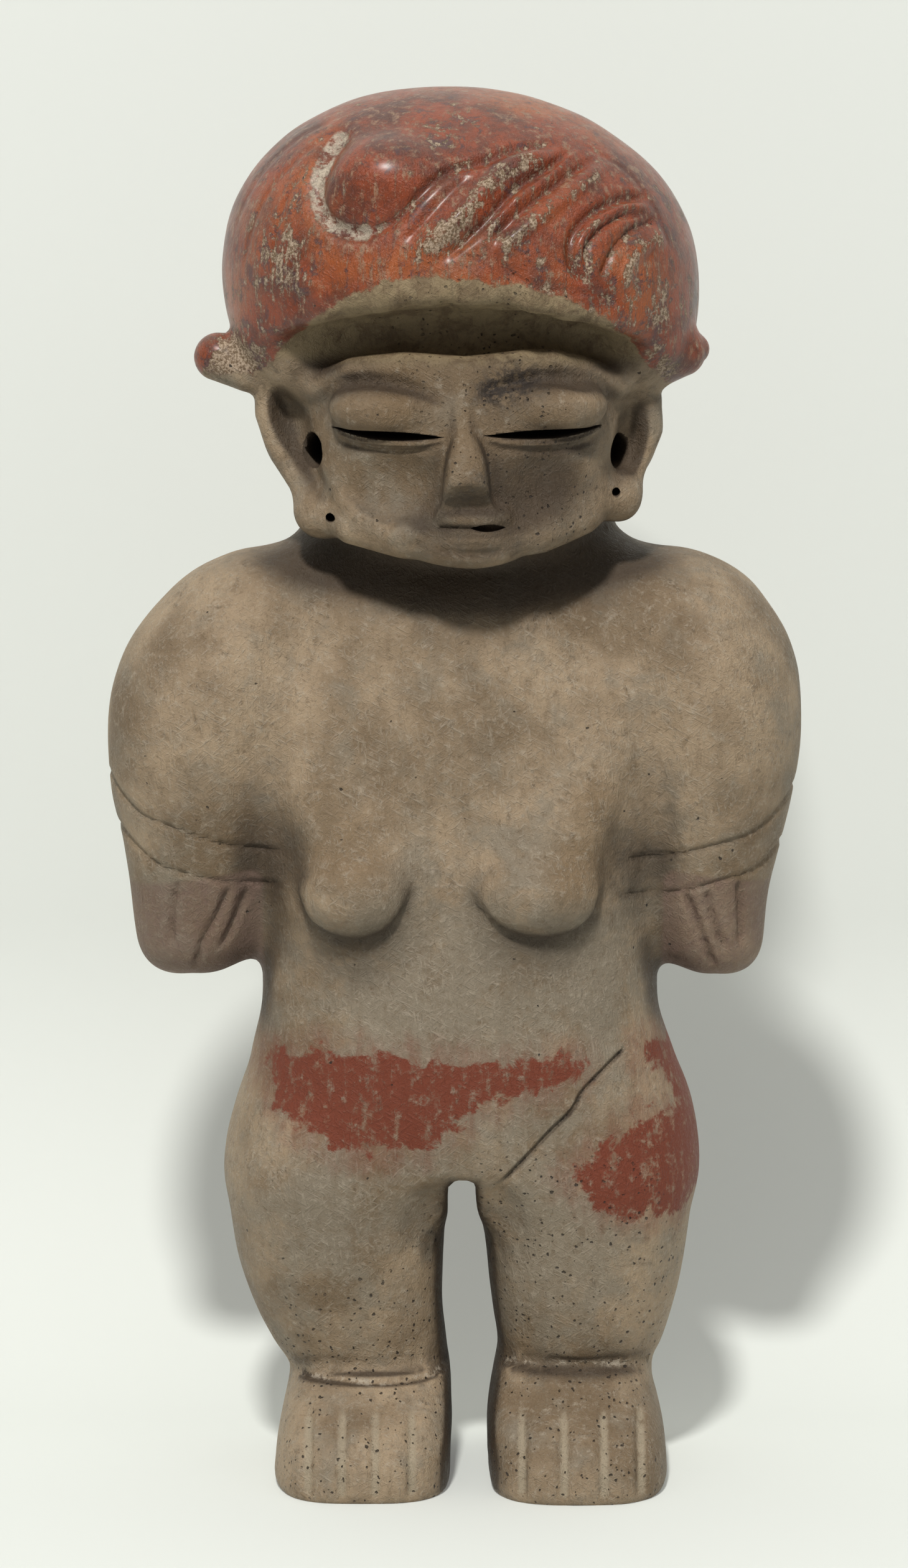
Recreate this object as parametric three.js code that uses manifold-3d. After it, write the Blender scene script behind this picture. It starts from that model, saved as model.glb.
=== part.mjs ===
// A standing pottery figure of a woman, hollow-built in clay and fired, with a burnished helmet of hair.
// Millimetres, +Z up. She faces -Y and stands on her two soles. The origin is on the ground,
// under the middle of the figure's box.
// The body is one rounded form: lumps and tapering columns of clay, run together at their joins,
// with the carving pressed into the surface. It is sampled on a grid, skinned, thinned and trimmed flat below.

import * as THREE from "three";
import { mergeVertices } from "three/addons/utils/BufferGeometryUtils.js";
import Module from "manifold-3d";

// Driving dimensions.
const figureHeight = 300;
const eyeSlitHeight = 2.0;
const eyeSlitDepth = 5;
const mouthSlitHeight = 1.6;
const mouthSlitDepth = 3;
const earHoleRadius = 3.9; // half its height
const earHoleWidthShare = 0.75;
const earHoleDepth = 13;
const lobeHoleRadius = 1.1;
const lobeHoleDepth = 4;
const toeGrooveWidth = 3.4;
const toeGrooveDepth = 1.1;
const fingerGrooveWidth = 2.6;
const fingerGrooveDepth = 1.3;
const cuffLineWidth = 2.2;
const cuffLineDepth = 0.9;
const hairGrooveWidth = 5;
const hairGrooveDepth = 1.7;
const soleTrim = 1.6; // clay below the ground line, pared off to leave the flat soles

// How finely the surface is sampled, and how many triangles are kept of it.
const gridStep = 1.7;
const gridMargin = 4;
const keptTriangles = 8400;
const clayColour = 0x8f7c66;

// The modelling below is drawn on a figure of this height, and follows figureHeight.
const drawnHeight = 300;
const share = (drawn) => (drawn * figureHeight) / drawnHeight;

// Two surfaces run together, or meet in a hollow, over a band as wide as radius.
function joinedDistance(a, b, radius) {
  const overlap = Math.max(radius - Math.abs(a - b), 0);
  return Math.min(a, b) - (overlap * overlap) / (4 * radius);
}
const cutDistance = (a, b, radius) => -joinedDistance(-a, b, radius);

// 0 below low, 1 above high, and an even slope between.
function rise(low, high, value) {
  const t = Math.min(Math.max((value - low) / (high - low), 0), 1);
  return t * t * (3 - 2 * t);
}

// Beyond this distance a form is measured only roughly.
const nearEnough = share(16);

// A lump of clay: an ellipsoid, squarer where power is above 2, turned about its centre in degrees.
function lump({ at, radii, turn = [0, 0, 0], power = 2 }) {
  const [cx, cy, cz] = at.map(share);
  const [rx, ry, rz] = radii.map(share);
  const reach = Math.max(rx, ry, rz) * (power > 2 ? 1.25 : 1);
  const angles = turn.map(THREE.MathUtils.degToRad);
  const m = new THREE.Matrix4().makeRotationFromEuler(new THREE.Euler(...angles)).elements;
  return (x, y, z) => {
    const dx = x - cx;
    const dy = y - cy;
    const dz = z - cz;
    const rough = Math.hypot(dx, dy, dz) - reach;
    if (rough > nearEnough) return rough;
    const u = Math.abs(dx * m[0] + dy * m[1] + dz * m[2]) / rx;
    const v = Math.abs(dx * m[4] + dy * m[5] + dz * m[6]) / ry;
    const w = Math.abs(dx * m[8] + dy * m[9] + dz * m[10]) / rz;
    const k = (u ** power + v ** power + w ** power) ** (1 / power);
    if (k < 1e-6) return -Math.min(rx, ry, rz);
    const n = power - 1;
    return (k - 1) / Math.hypot((u / k) ** n / rx, (v / k) ** n / ry, (w / k) ** n / rz);
  };
}

// Values between rows of a table, by a smooth curve through them. The first column is the height.
function between(rows, z) {
  const last = rows.length - 1;
  let i = 0;
  while (i < last - 1 && z > rows[i + 1][0]) i += 1;
  const [a, b] = [rows[i], rows[i + 1]];
  const before = rows[Math.max(i - 1, 0)];
  const after = rows[Math.min(i + 2, last)];
  const span = b[0] - a[0];
  const t = Math.min(Math.max((z - a[0]) / span, 0), 1);
  return a.map((start, c) => {
    const leave = ((b[c] - before[c]) / (b[0] - before[0])) * span;
    const arrive = ((after[c] - a[c]) / (after[0] - a[0])) * span;
    const t2 = t * t;
    const t3 = t2 * t;
    return (
      (2 * t3 - 3 * t2 + 1) * start + (t3 - 2 * t2 + t) * leave + (3 * t2 - 2 * t3) * b[c] + (t3 - t2) * arrive
    );
  });
}

// A column of clay: rounded sections stacked up, each given as [height, left, right, front, back].
// Its two ends are rounded over by cap.
function column({ sections, power = 2, cap }) {
  const rows = sections.map((row) => row.map(share));
  const low = rows[0][0];
  const high = rows[rows.length - 1][0];
  const steps = 240;
  const table = [];
  for (let i = 0; i <= steps; i += 1) {
    const [, left, right, front, back] = between(rows, low + ((high - low) * i) / steps);
    table.push([(left + right) / 2, (front + back) / 2, (right - left) / 2, (back - front) / 2]);
  }
  const capRadius = share(cap);
  const n = power - 1;
  return (x, y, z) => {
    const beyond = Math.max(low - z, z - high);
    if (beyond > nearEnough) return beyond;
    const place = Math.min(Math.max(((z - low) / (high - low)) * steps, 0), steps - 1e-6);
    const i = Math.floor(place);
    const f = place - i;
    const [a, b] = [table[i], table[i + 1]];
    const wide = a[2] + (b[2] - a[2]) * f;
    const deep = a[3] + (b[3] - a[3]) * f;
    const dx = Math.abs(x - a[0] - (b[0] - a[0]) * f);
    const dy = Math.abs(y - a[1] - (b[1] - a[1]) * f);
    const rough = Math.max(dx - wide, dy - deep);
    if (rough > nearEnough) return rough;
    const u = dx / wide;
    const v = dy / deep;
    const k = (u ** power + v ** power) ** (1 / power);
    if (k < 1e-6) return Math.max(-Math.min(wide, deep), beyond);
    const side = (k - 1) / Math.hypot((u / k) ** n / wide, (v / k) ** n / deep);
    return -joinedDistance(-side, -beyond, capRadius);
  };
}

// A tool's mark, seen from the front or the back: how deep it is pressed at a place on the surface.
// Its path is a smooth curve through [x, z] points, and it fades out over its two ends.
function stroke({ path, width, depth, fade = 0.15 }) {
  const curve = new THREE.CatmullRomCurve3(path.map(([x, z]) => new THREE.Vector3(share(x), 0, share(z))));
  const pieces = 6 * path.length;
  const points = curve.getPoints(pieces);
  const box = new THREE.Box3().setFromPoints(points).expandByScalar(width);
  return (x, z) => {
    if (x < box.min.x || x > box.max.x || z < box.min.z || z > box.max.z) return 0;
    let nearest = Infinity;
    let along = 0;
    for (let i = 0; i < pieces; i += 1) {
      const [p, q] = [points[i], points[i + 1]];
      const ex = q.x - p.x;
      const ez = q.z - p.z;
      const t = Math.min(Math.max(((x - p.x) * ex + (z - p.z) * ez) / (ex * ex + ez * ez), 0), 1);
      const d = Math.hypot(x - p.x - ex * t, z - p.z - ez * t);
      if (d < nearest) {
        nearest = d;
        along = (i + t) / pieces;
      }
    }
    if (nearest > width / 2) return 0;
    const ends = Math.min(1, along / fade, (1 - along) / fade);
    return depth * ends * 0.5 * (1 + Math.cos((2 * Math.PI * nearest) / width));
  };
}

// A roll of clay along [x, y, z, radius] points, its radius changing evenly between them.
function roll(points) {
  const rows = points.map((row) => row.map(share));
  return (x, y, z) => {
    let nearest = Infinity;
    for (let i = 0; i < rows.length - 1; i += 1) {
      const [a, b] = [rows[i], rows[i + 1]];
      const ex = b[0] - a[0];
      const ey = b[1] - a[1];
      const ez = b[2] - a[2];
      const along = ((x - a[0]) * ex + (y - a[1]) * ey + (z - a[2]) * ez) / (ex * ex + ey * ey + ez * ez);
      const t = Math.min(Math.max(along, 0), 1);
      const d = Math.hypot(x - a[0] - ex * t, y - a[1] - ey * t, z - a[2] - ez * t);
      nearest = Math.min(nearest, d - a[3] - (b[3] - a[3]) * t);
    }
    return nearest;
  };
}

// The trunk, from the hips to the root of the neck.
const trunk = column({
  power: 2.3,
  cap: 14,
  sections: [
    [56, -48, 47, -22, 24],
    [68, -50.7, 50.4, -25.5, 28],
    [80, -49.4, 50, -27.5, 29.5],
    [92, -46, 46, -28, 28],
    [102, -43.8, 42.6, -27.5, 25],
    [112, -43, 41.5, -27, 23.5],
    [124, -43.5, 42, -26, 23],
    [145, -46, 45, -25, 25],
    [168, -50, 48, -24, 27],
    [186, -46, 46, -20.5, 25],
    [201, -38, 37, -15, 22],
  ],
});

const neck = column({
  power: 2.1,
  cap: 6,
  sections: [
    [150, -26, 24, -4, 12],
    [176, -37, 36, -14, 21],
    [190, -37.5, 36, -16.5, 24],
    [200, -35, 33.4, -14, 24],
    [208, -34, 32, -13, 25],
    [224, -35, 33, -15, 26],
  ],
});

// The heavy shoulders and upper arms, which taper to the hands. The two sides aren't alike.
const arms = [
  column({
    power: 2.15,
    cap: 9,
    sections: [
      [109.8, -69.4, -48, -10.5, 5.5],
      [117.5, -70.4, -44, -13, 8.5],
      [128.5, -71.8, -39.5, -16, 13],
      [139.5, -73.4, -37, -18.5, 17],
      [150.5, -75.9, -34.5, -21, 21],
      [161.4, -76.5, -32, -22.8, 24.5],
      [172.3, -75.3, -29, -23.2, 26.5],
      [183, -71, -27, -21.5, 26],
      [193, -62.6, -24, -17.5, 23.5],
      [201.5, -53, -24, -12, 18],
    ],
  }),
  column({
    power: 2.15,
    cap: 9,
    sections: [
      [109.4, 45.6, 64.4, -10.5, 5.5],
      [117.5, 42, 65, -13, 8.5],
      [128.5, 38, 66.4, -16, 13],
      [139.5, 36, 68.8, -18.5, 17],
      [150.5, 33.5, 71.4, -21, 21],
      [161.4, 31, 72.9, -22.8, 24.5],
      [172.3, 28.5, 72.6, -23.2, 26.5],
      [183, 26.5, 70, -21.5, 26],
      [193, 24, 63.4, -17.5, 23.5],
      [201.5, 24, 54.6, -12, 18],
    ],
  }),
];

// Long shallow breasts that run down from the shoulders and end in a round fold.
const breasts = [
  roll([[-31.5, -12.4, 168, 6], [-29, -15.4, 150, 8.6], [-23.6, -18, 134, 11.8]]),
  roll([[29.5, -12.4, 168, 6], [25.4, -15.4, 150, 9], [17, -17.6, 134.6, 12.2]]),
];
const breastTips = [
  lump({ at: [-22.6, -23.2, 132], radii: [11.8, 9.2, 9.8] }),
  lump({ at: [15.6, -23, 132], radii: [13.8, 9.2, 9.8] }),
];
// Where the arms leave the chest.
const armHollows = [
  lump({ at: [-40, -29.5, 140], radii: [4.5, 7.5, 19], turn: [0, -6, 0] }),
  lump({ at: [35.5, -29.5, 140], radii: [4.5, 7.5, 19], turn: [0, 8, 0] }),
];

const buttocks = [
  lump({ at: [-23, 11.5, 75], radii: [23, 21, 22] }),
  lump({ at: [23, 11.5, 75], radii: [23, 21, 22] }),
];

const legs = [
  column({
    power: 2.5,
    cap: 8,
    sections: [
      [12, -36.5, -2.4, -13, 17],
      [22, -37.9, -2.6, -14.5, 18],
      [28, -41.7, -2.8, -16.8, 19.5],
      [34, -44.8, -3.4, -19, 20.5],
      [45, -48.6, -3.4, -22, 22.5],
      [56, -50.4, -3, -24, 25],
      [68, -50.9, -2.6, -25.4, 27.5],
      [84, -45.5, -4, -22.5, 25],
    ],
  }),
  column({
    power: 2.5,
    cap: 8,
    sections: [
      [12, 6.9, 40, -13, 17],
      [22, 6.9, 41.2, -14.5, 18],
      [28, 6.8, 44, -16.8, 19.5],
      [34, 5.9, 45.9, -19, 20.5],
      [45, 4.6, 48.3, -22, 22.5],
      [56, 3.4, 49.7, -24, 25],
      [68, 2.4, 50.6, -25.4, 27.5],
      [84, 4, 45.5, -22.5, 25],
    ],
  }),
];

// Feet: blocks with straight sides, whose tops slope down to the toes.
const feet = [
  column({
    power: 3.4,
    cap: 4.5,
    sections: [
      [-soleTrim, -40.9, -2.2, -35, 20.5],
      [3, -40.9, -1.9, -35.4, 21],
      [9, -40, -1.5, -34.4, 20.5],
      [14, -38.9, -1.6, -30.5, 20],
      [19, -37.4, -1.8, -23, 19],
      [24.5, -35.5, -2.7, -17.4, 18],
    ],
  }),
  column({
    power: 3.4,
    cap: 4.5,
    sections: [
      [-soleTrim, 5.2, 44.6, -36, 20.5],
      [3, 5, 44.7, -36.4, 21],
      [9, 4.5, 44.1, -35.4, 20.5],
      [14, 4.6, 43, -31.5, 20],
      [19, 5.4, 41.5, -24, 19],
      [25.5, 6.8, 40.7, -17.4, 18],
    ],
  }),
];
const thighHollows = [
  lump({ at: [-6.4, -29, 57.5], radii: [7, 9, 11.5], turn: [6, 0, 0] }),
  lump({ at: [7.4, -29, 57.5], radii: [6.6, 9, 11.5], turn: [6, 0, 0] }),
];
const legGap = column({
  power: 6,
  cap: 2,
  sections: [
    [-20, -2.4, 5.2, -60, 60],
    [8, -1.6, 4.6, -60, 60],
    [22, -2.4, 6.6, -60, 60],
    [28, -3.2, 6.9, -60, 60],
    [36, -4, 5.8, -60, 60],
    [47, -3.8, 4.8, -60, 60],
    [61, -3.3, 3.2, -60, 60],
    [68.4, -2.8, 2.6, -60, 60],
  ],
});

// The head: a helmet of hair that overhangs the face like a brim, and a mask-like face below it.
const hairBase = lump({ at: [0.3, 1, 257.6], radii: [50, 42, 40.6], power: 2.12 });
const hairCrown = lump({ at: [-6.4, 2, 266], radii: [42.6, 36, 32.2], power: 2.15 });
const hairDome = (x, y, z) => joinedDistance(hairBase(x, y, z), hairCrown(x, y, z), share(8));
function brimHeight(x, y) {
  const arch = (0.0058 / share(1)) * (x + share(2)) ** 2;
  return share(257.4) - arch - share(30) * rise(share(-4), share(34), y);
}
const hair = (x, y, z) => -joinedDistance(-hairDome(x, y, z), z - brimHeight(x, y), share(4.5));
const hairSwell = lump({ at: [-15.5, -27, 282], radii: [11.5, 9.4, 9], turn: [-35, 0, 0] });

const skull = lump({ at: [-0.5, 3.5, 238], radii: [38.6, 31.5, 40], power: 2.2 });
const mask = lump({ at: [1, -12, 227.4], radii: [30.6, 22.8, 24.4], power: 2.45 });
const sideLocks = [
  roll([[-51.8, -9, 244.2, 5.1], [-45.4, -11, 241.6, 4.7], [-38, -8, 243, 4.4]]),
  roll([[36, -8, 243.6, 4.6], [41, -11, 242.6, 4.4], [46, -10, 245.4, 5.4], [48.8, -9, 245.8, 3.4]]),
];

// The forehead is a niche under the brim, with the brow as its sill and the temples as its two sides.
const foreheadNiche = roll([
  [-29, -22, 244, 2.8],
  [-22, -25.4, 248.6, 3.6],
  [-10, -27.6, 250, 4.2],
  [2, -28.2, 250, 4.2],
  [14, -27.6, 250.6, 4.2],
  [24, -25.4, 249, 3.6],
  [31, -22, 244.6, 2.8],
]);
const temples = [
  lump({ at: [-36, -10.5, 246.5], radii: [9, 10.5, 10] }),
  lump({ at: [36.8, -10.5, 247], radii: [8.5, 10.5, 10] }),
];
const browRidge = roll([
  [-30, -19, 239, 2.6],
  [-23, -25.8, 243, 2.6],
  [-12, -29, 244.2, 2.7],
  [0.4, -30, 243.2, 2.4],
  [13, -29, 244.8, 2.7],
  [18, -27.8, 245, 2.7],
  [25, -25, 243.2, 2.6],
  [32, -19, 239.6, 2.6],
]);
const eyelids = [
  lump({ at: [-15.2, -26.6, 235.2], radii: [12.8, 8.8, 6.4], turn: [0, 2, 14], power: 2.1 }),
  lump({ at: [17.2, -26.6, 235.8], radii: [13, 8.8, 6.5], turn: [0, -2, -14], power: 2.1 }),
];
const cheekHollows = [
  lump({ at: [-16.4, -39, 219.8], radii: [11.6, 9.6, 9.2], turn: [0, 8, 12] }),
  lump({ at: [19, -40.4, 220.4], radii: [10.8, 9.8, 8.8], turn: [0, -12, -12] }),
];
const jaw = roll([
  [-29, -15, 213, 4],
  [-23, -24, 210.6, 4.4],
  [-12, -29, 208.6, 4.6],
  [2.4, -30, 207.6, 4.6],
  [16, -28.6, 209.4, 4.4],
  [25, -23, 212.4, 4],
  [30, -15, 216, 3.6],
]);
const nose = column({
  power: 3.4,
  cap: 1.4,
  sections: [
    [212, -4.6, 6, -41.4, -24],
    [221, -4.1, 5.6, -41, -24],
    [226, -3.5, 4.9, -39.4, -24],
    [229.6, -2.7, 3.6, -37.2, -24],
    [232.6, -2.1, 2, -35.2, -24],
    [238, -1.8, 1.4, -33.6, -24],
    [244, -1.4, 1.3, -31.6, -24],
  ],
});
// The flat under the nose leans back as it goes down, so that it shows from the front.
const noseUnderside = (x, y, z) => 0.73 * (share(220.8) - z) - 0.68 * (y + share(41));
const lips = [
  lump({ at: [2.2, -33.4, 213], radii: [7.2, 4.2, 2.7] }),
  lump({ at: [2.2, -32.2, 208.4], radii: [6.6, 4.2, 2.2] }),
  lump({ at: [1.6, -30.8, 205], radii: [8.6, 4.2, 2.6] }),
];

// The ears are thick rims round a hollow, with a big hole at the bottom of each hollow.
const ears = [
  roll([
    [-37, -11.5, 241.6, 3.6],
    [-40.8, -11.3, 237.4, 3.2],
    [-41, -11, 232.4, 3],
    [-39.2, -11, 227, 3],
    [-36.8, -11.4, 222.4, 3.1],
    [-33.4, -13, 218, 3.5],
    [-31.4, -15, 213.6, 3.9],
  ]),
  roll([
    [37, -11, 240, 2.6],
    [39.2, -10.5, 235, 2.8],
    [39, -10, 229, 3.1],
    [36.6, -11, 223, 2.8],
    [34.4, -12.5, 217.4, 3.2],
  ]),
];
const earHollows = [
  lump({ at: [-36.6, -16.6, 231.6], radii: [3, 5.6, 6.4], turn: [0, -22, 0] }),
  lump({ at: [35.4, -16.4, 226.2], radii: [3, 5.6, 6.4], turn: [0, 8, 0] }),
];
const earPlates = [
  lump({ at: [-35.8, -6, 229.5], radii: [7.2, 6.8, 12.5], turn: [0, -10, 0] }),
  lump({ at: [35, -6, 228.4], radii: [6.8, 6.8, 12], turn: [0, 10, 0] }),
];
const lobes = [
  lump({ at: [-29.8, -16.5, 211.4], radii: [5.4, 5.4, 5] }),
  lump({ at: [33, -15.5, 215.2], radii: [4.8, 5, 5.2] }),
];

// Tool marks on the front of the hair, each with its share of the groove's width and depth, drawn as [x, z].
const hairStroke = ([wide, deep, path]) =>
  stroke({ path, width: wide * hairGrooveWidth, depth: deep * hairGrooveDepth, fade: 0.1 });
const hairGrooves = [
  [1.1, 1.1, [[-23.3, 292.3], [-28, 287.2], [-30.3, 279.6], [-29.1, 276], [-26, 273.2], [-21, 272.2], [-16.7, 273.4]]],
  [0.7, 0.8, [[-24, 272.6], [-16.7, 273.4], [-8.9, 280], [-1.1, 285.3], [9, 288.2], [20.2, 289.6]]],
  [0.65, 1, [[-4.5, 266.9], [1.2, 271.6], [8.2, 278.7], [12.1, 282.3], [17.5, 285.2], [22.4, 288.6]]],
  [0.6, 0.8, [[6, 271.2], [11.3, 276.2], [20.6, 282.8], [27.1, 286.8]]],
  [0.7, 0.9, [[39.5, 278], [33.9, 278.6], [29.2, 277.3], [25.3, 275], [22.6, 271.5], [22.2, 267.7], [23.4, 264.3],
    [28, 261.2]]],
  [0.6, 0.8, [[41, 274.2], [35.4, 272.4], [31.9, 269.5], [30, 266.3], [28.8, 262.6]]],
].map(hairStroke);
const hairRidges = [
  [1.3, 1, [[-9.9, 267.5], [-4.2, 272.4], [1.2, 277.7], [5.1, 281.7], [8.2, 284.5], [12.1, 286.7], [18.8, 288]]],
  [0.9, 0.6, [[6.4, 268], [11.3, 272.2], [16.8, 276.2], [22.2, 279.9], [30.4, 285.9]]],
].map(hairStroke);

// The back of the hair carries long plain locks that run down to the nape.
const backStrokes = [-30, -18, -6, 6, 18, 30].map((x) =>
  stroke({
    path: [[x * 0.5, 290], [x * 0.9, 272], [x * 1.05, 254], [x * 0.9, 236]],
    width: hairGrooveWidth,
    depth: hairGrooveDepth * 0.6,
  })
);

// Two lines ring each arm like the edge of a sleeve, and cuts below them part the fingers.
const cuffs = [
  [[-78, 156.5], [-70, 147.8], [-62.6, 144.9], [-48.4, 140.4], [-38, 139.6]],
  [[-76, 145], [-66.9, 137], [-60.4, 134.6], [-48.6, 132.3], [-38, 132.2]],
  [[74, 155], [68.6, 148.6], [62.4, 143.4], [52.8, 140.6], [43.9, 138.4], [34, 138]],
  [[72, 142.6], [66.9, 138], [62.5, 134.8], [54.5, 132.6], [46.7, 130.4], [40, 129.6], [32, 130.8]],
].map((path) => stroke({ path, width: cuffLineWidth, depth: cuffLineDepth, fade: 0.08 }));
const fingers = [
  [[-49.7, 131.5], [-51.9, 126.3], [-55.9, 118.7], [-57.5, 112]],
  [[-46, 131], [-48.6, 124], [-52, 117]],
  [[-61, 133], [-62.4, 125], [-62.6, 117]],
  [[47, 130.3], [49.3, 125.4], [52.5, 116.9], [54, 112]],
  [[52, 131], [53.6, 124], [56.6, 116]],
  [[59, 133], [59.6, 125], [60, 117]],
].map((path) => stroke({ path, width: fingerGrooveWidth, depth: fingerGrooveDepth }));
const toes = [-33.2, -25.9, -18.8, -10.9, 12.7, 21.8, 30.3, 38.4].map((x) =>
  stroke({ path: [[x, 0.5], [x, 8], [x, 18.5]], width: toeGrooveWidth, depth: toeGrooveDepth, fade: 0.12 })
);

const pressed = (strokes, x, z) => strokes.reduce((most, mark) => Math.max(most, mark(x, z)), 0);

function body(x, y, z) {
  let d = joinedDistance(trunk(x, y, z), neck(x, y, z), share(9));
  for (const form of buttocks) d = joinedDistance(d, form(x, y, z), share(8));
  for (const form of legs) d = joinedDistance(d, form(x, y, z), share(5));
  for (const form of feet) d = joinedDistance(d, form(x, y, z), share(2.2));
  for (const form of arms) d = joinedDistance(d, form(x, y, z), share(8));
  for (const form of breasts) d = joinedDistance(d, form(x, y, z), share(12));
  if (z > share(105)) for (const form of armHollows) d = cutDistance(d, form(x, y, z), share(5));
  for (const form of breastTips) d = joinedDistance(d, form(x, y, z), share(2.2));
  if (z < share(80)) {
    for (const form of thighHollows) d = cutDistance(d, form(x, y, z), share(3));
    d = cutDistance(d, legGap(x, y, z), share(3));
  }
  if (z < share(24)) d += pressed(toes, x, z) * rise(share(-14), share(-22), y);
  if (z > share(108) && z < share(160)) {
    d += pressed(cuffs, x, z);
    d += pressed(fingers, x, z) * rise(share(2), share(-4), y);
  }
  return d;
}

function face(x, y, z) {
  let d = joinedDistance(skull(x, y, z), mask(x, y, z), share(7));
  d = joinedDistance(d, jaw(x, y, z), share(6));
  for (const form of cheekHollows) d = cutDistance(d, form(x, y, z), share(4));
  return d;
}

function head(x, y, z) {
  let cap = hair(x, y, z);
  cap = joinedDistance(cap, hairSwell(x, y, z), share(5));
  cap += (pressed(hairGrooves, x, z) - pressed(hairRidges, x, z)) * rise(share(0), share(-10), y);
  cap += pressed(backStrokes, x, z) * rise(share(4), share(14), y);
  let d = joinedDistance(face(x, y, z), cap, share(10));
  d = cutDistance(d, foreheadNiche(x, y, z), share(4));
  for (const form of temples) d = joinedDistance(d, form(x, y, z), share(8));
  d = joinedDistance(d, browRidge(x, y, z), share(3.2));
  for (const form of eyelids) d = joinedDistance(d, form(x, y, z), share(2.2));
  const wedge = Math.max(nose(x, y, z), noseUnderside(x, y, z));
  d = joinedDistance(d, wedge, share(1.6));
  for (const form of lips) d = joinedDistance(d, form(x, y, z), share(3));
  for (const form of [...earPlates, ...ears]) d = joinedDistance(d, form(x, y, z), share(2.5));
  for (const form of earHollows) d = cutDistance(d, form(x, y, z), share(2.4));
  for (const form of lobes) d = joinedDistance(d, form(x, y, z), share(3));
  for (const form of sideLocks) d = joinedDistance(d, form(x, y, z), share(2.5));
  return d;
}

// The whole figure, without the openings pierced through its surface.
function figure(x, y, z) {
  if (z < share(180)) return body(x, y, z);
  if (z > share(226)) return head(x, y, z);
  return joinedDistance(body(x, y, z), head(x, y, z), share(4));
}

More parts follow.
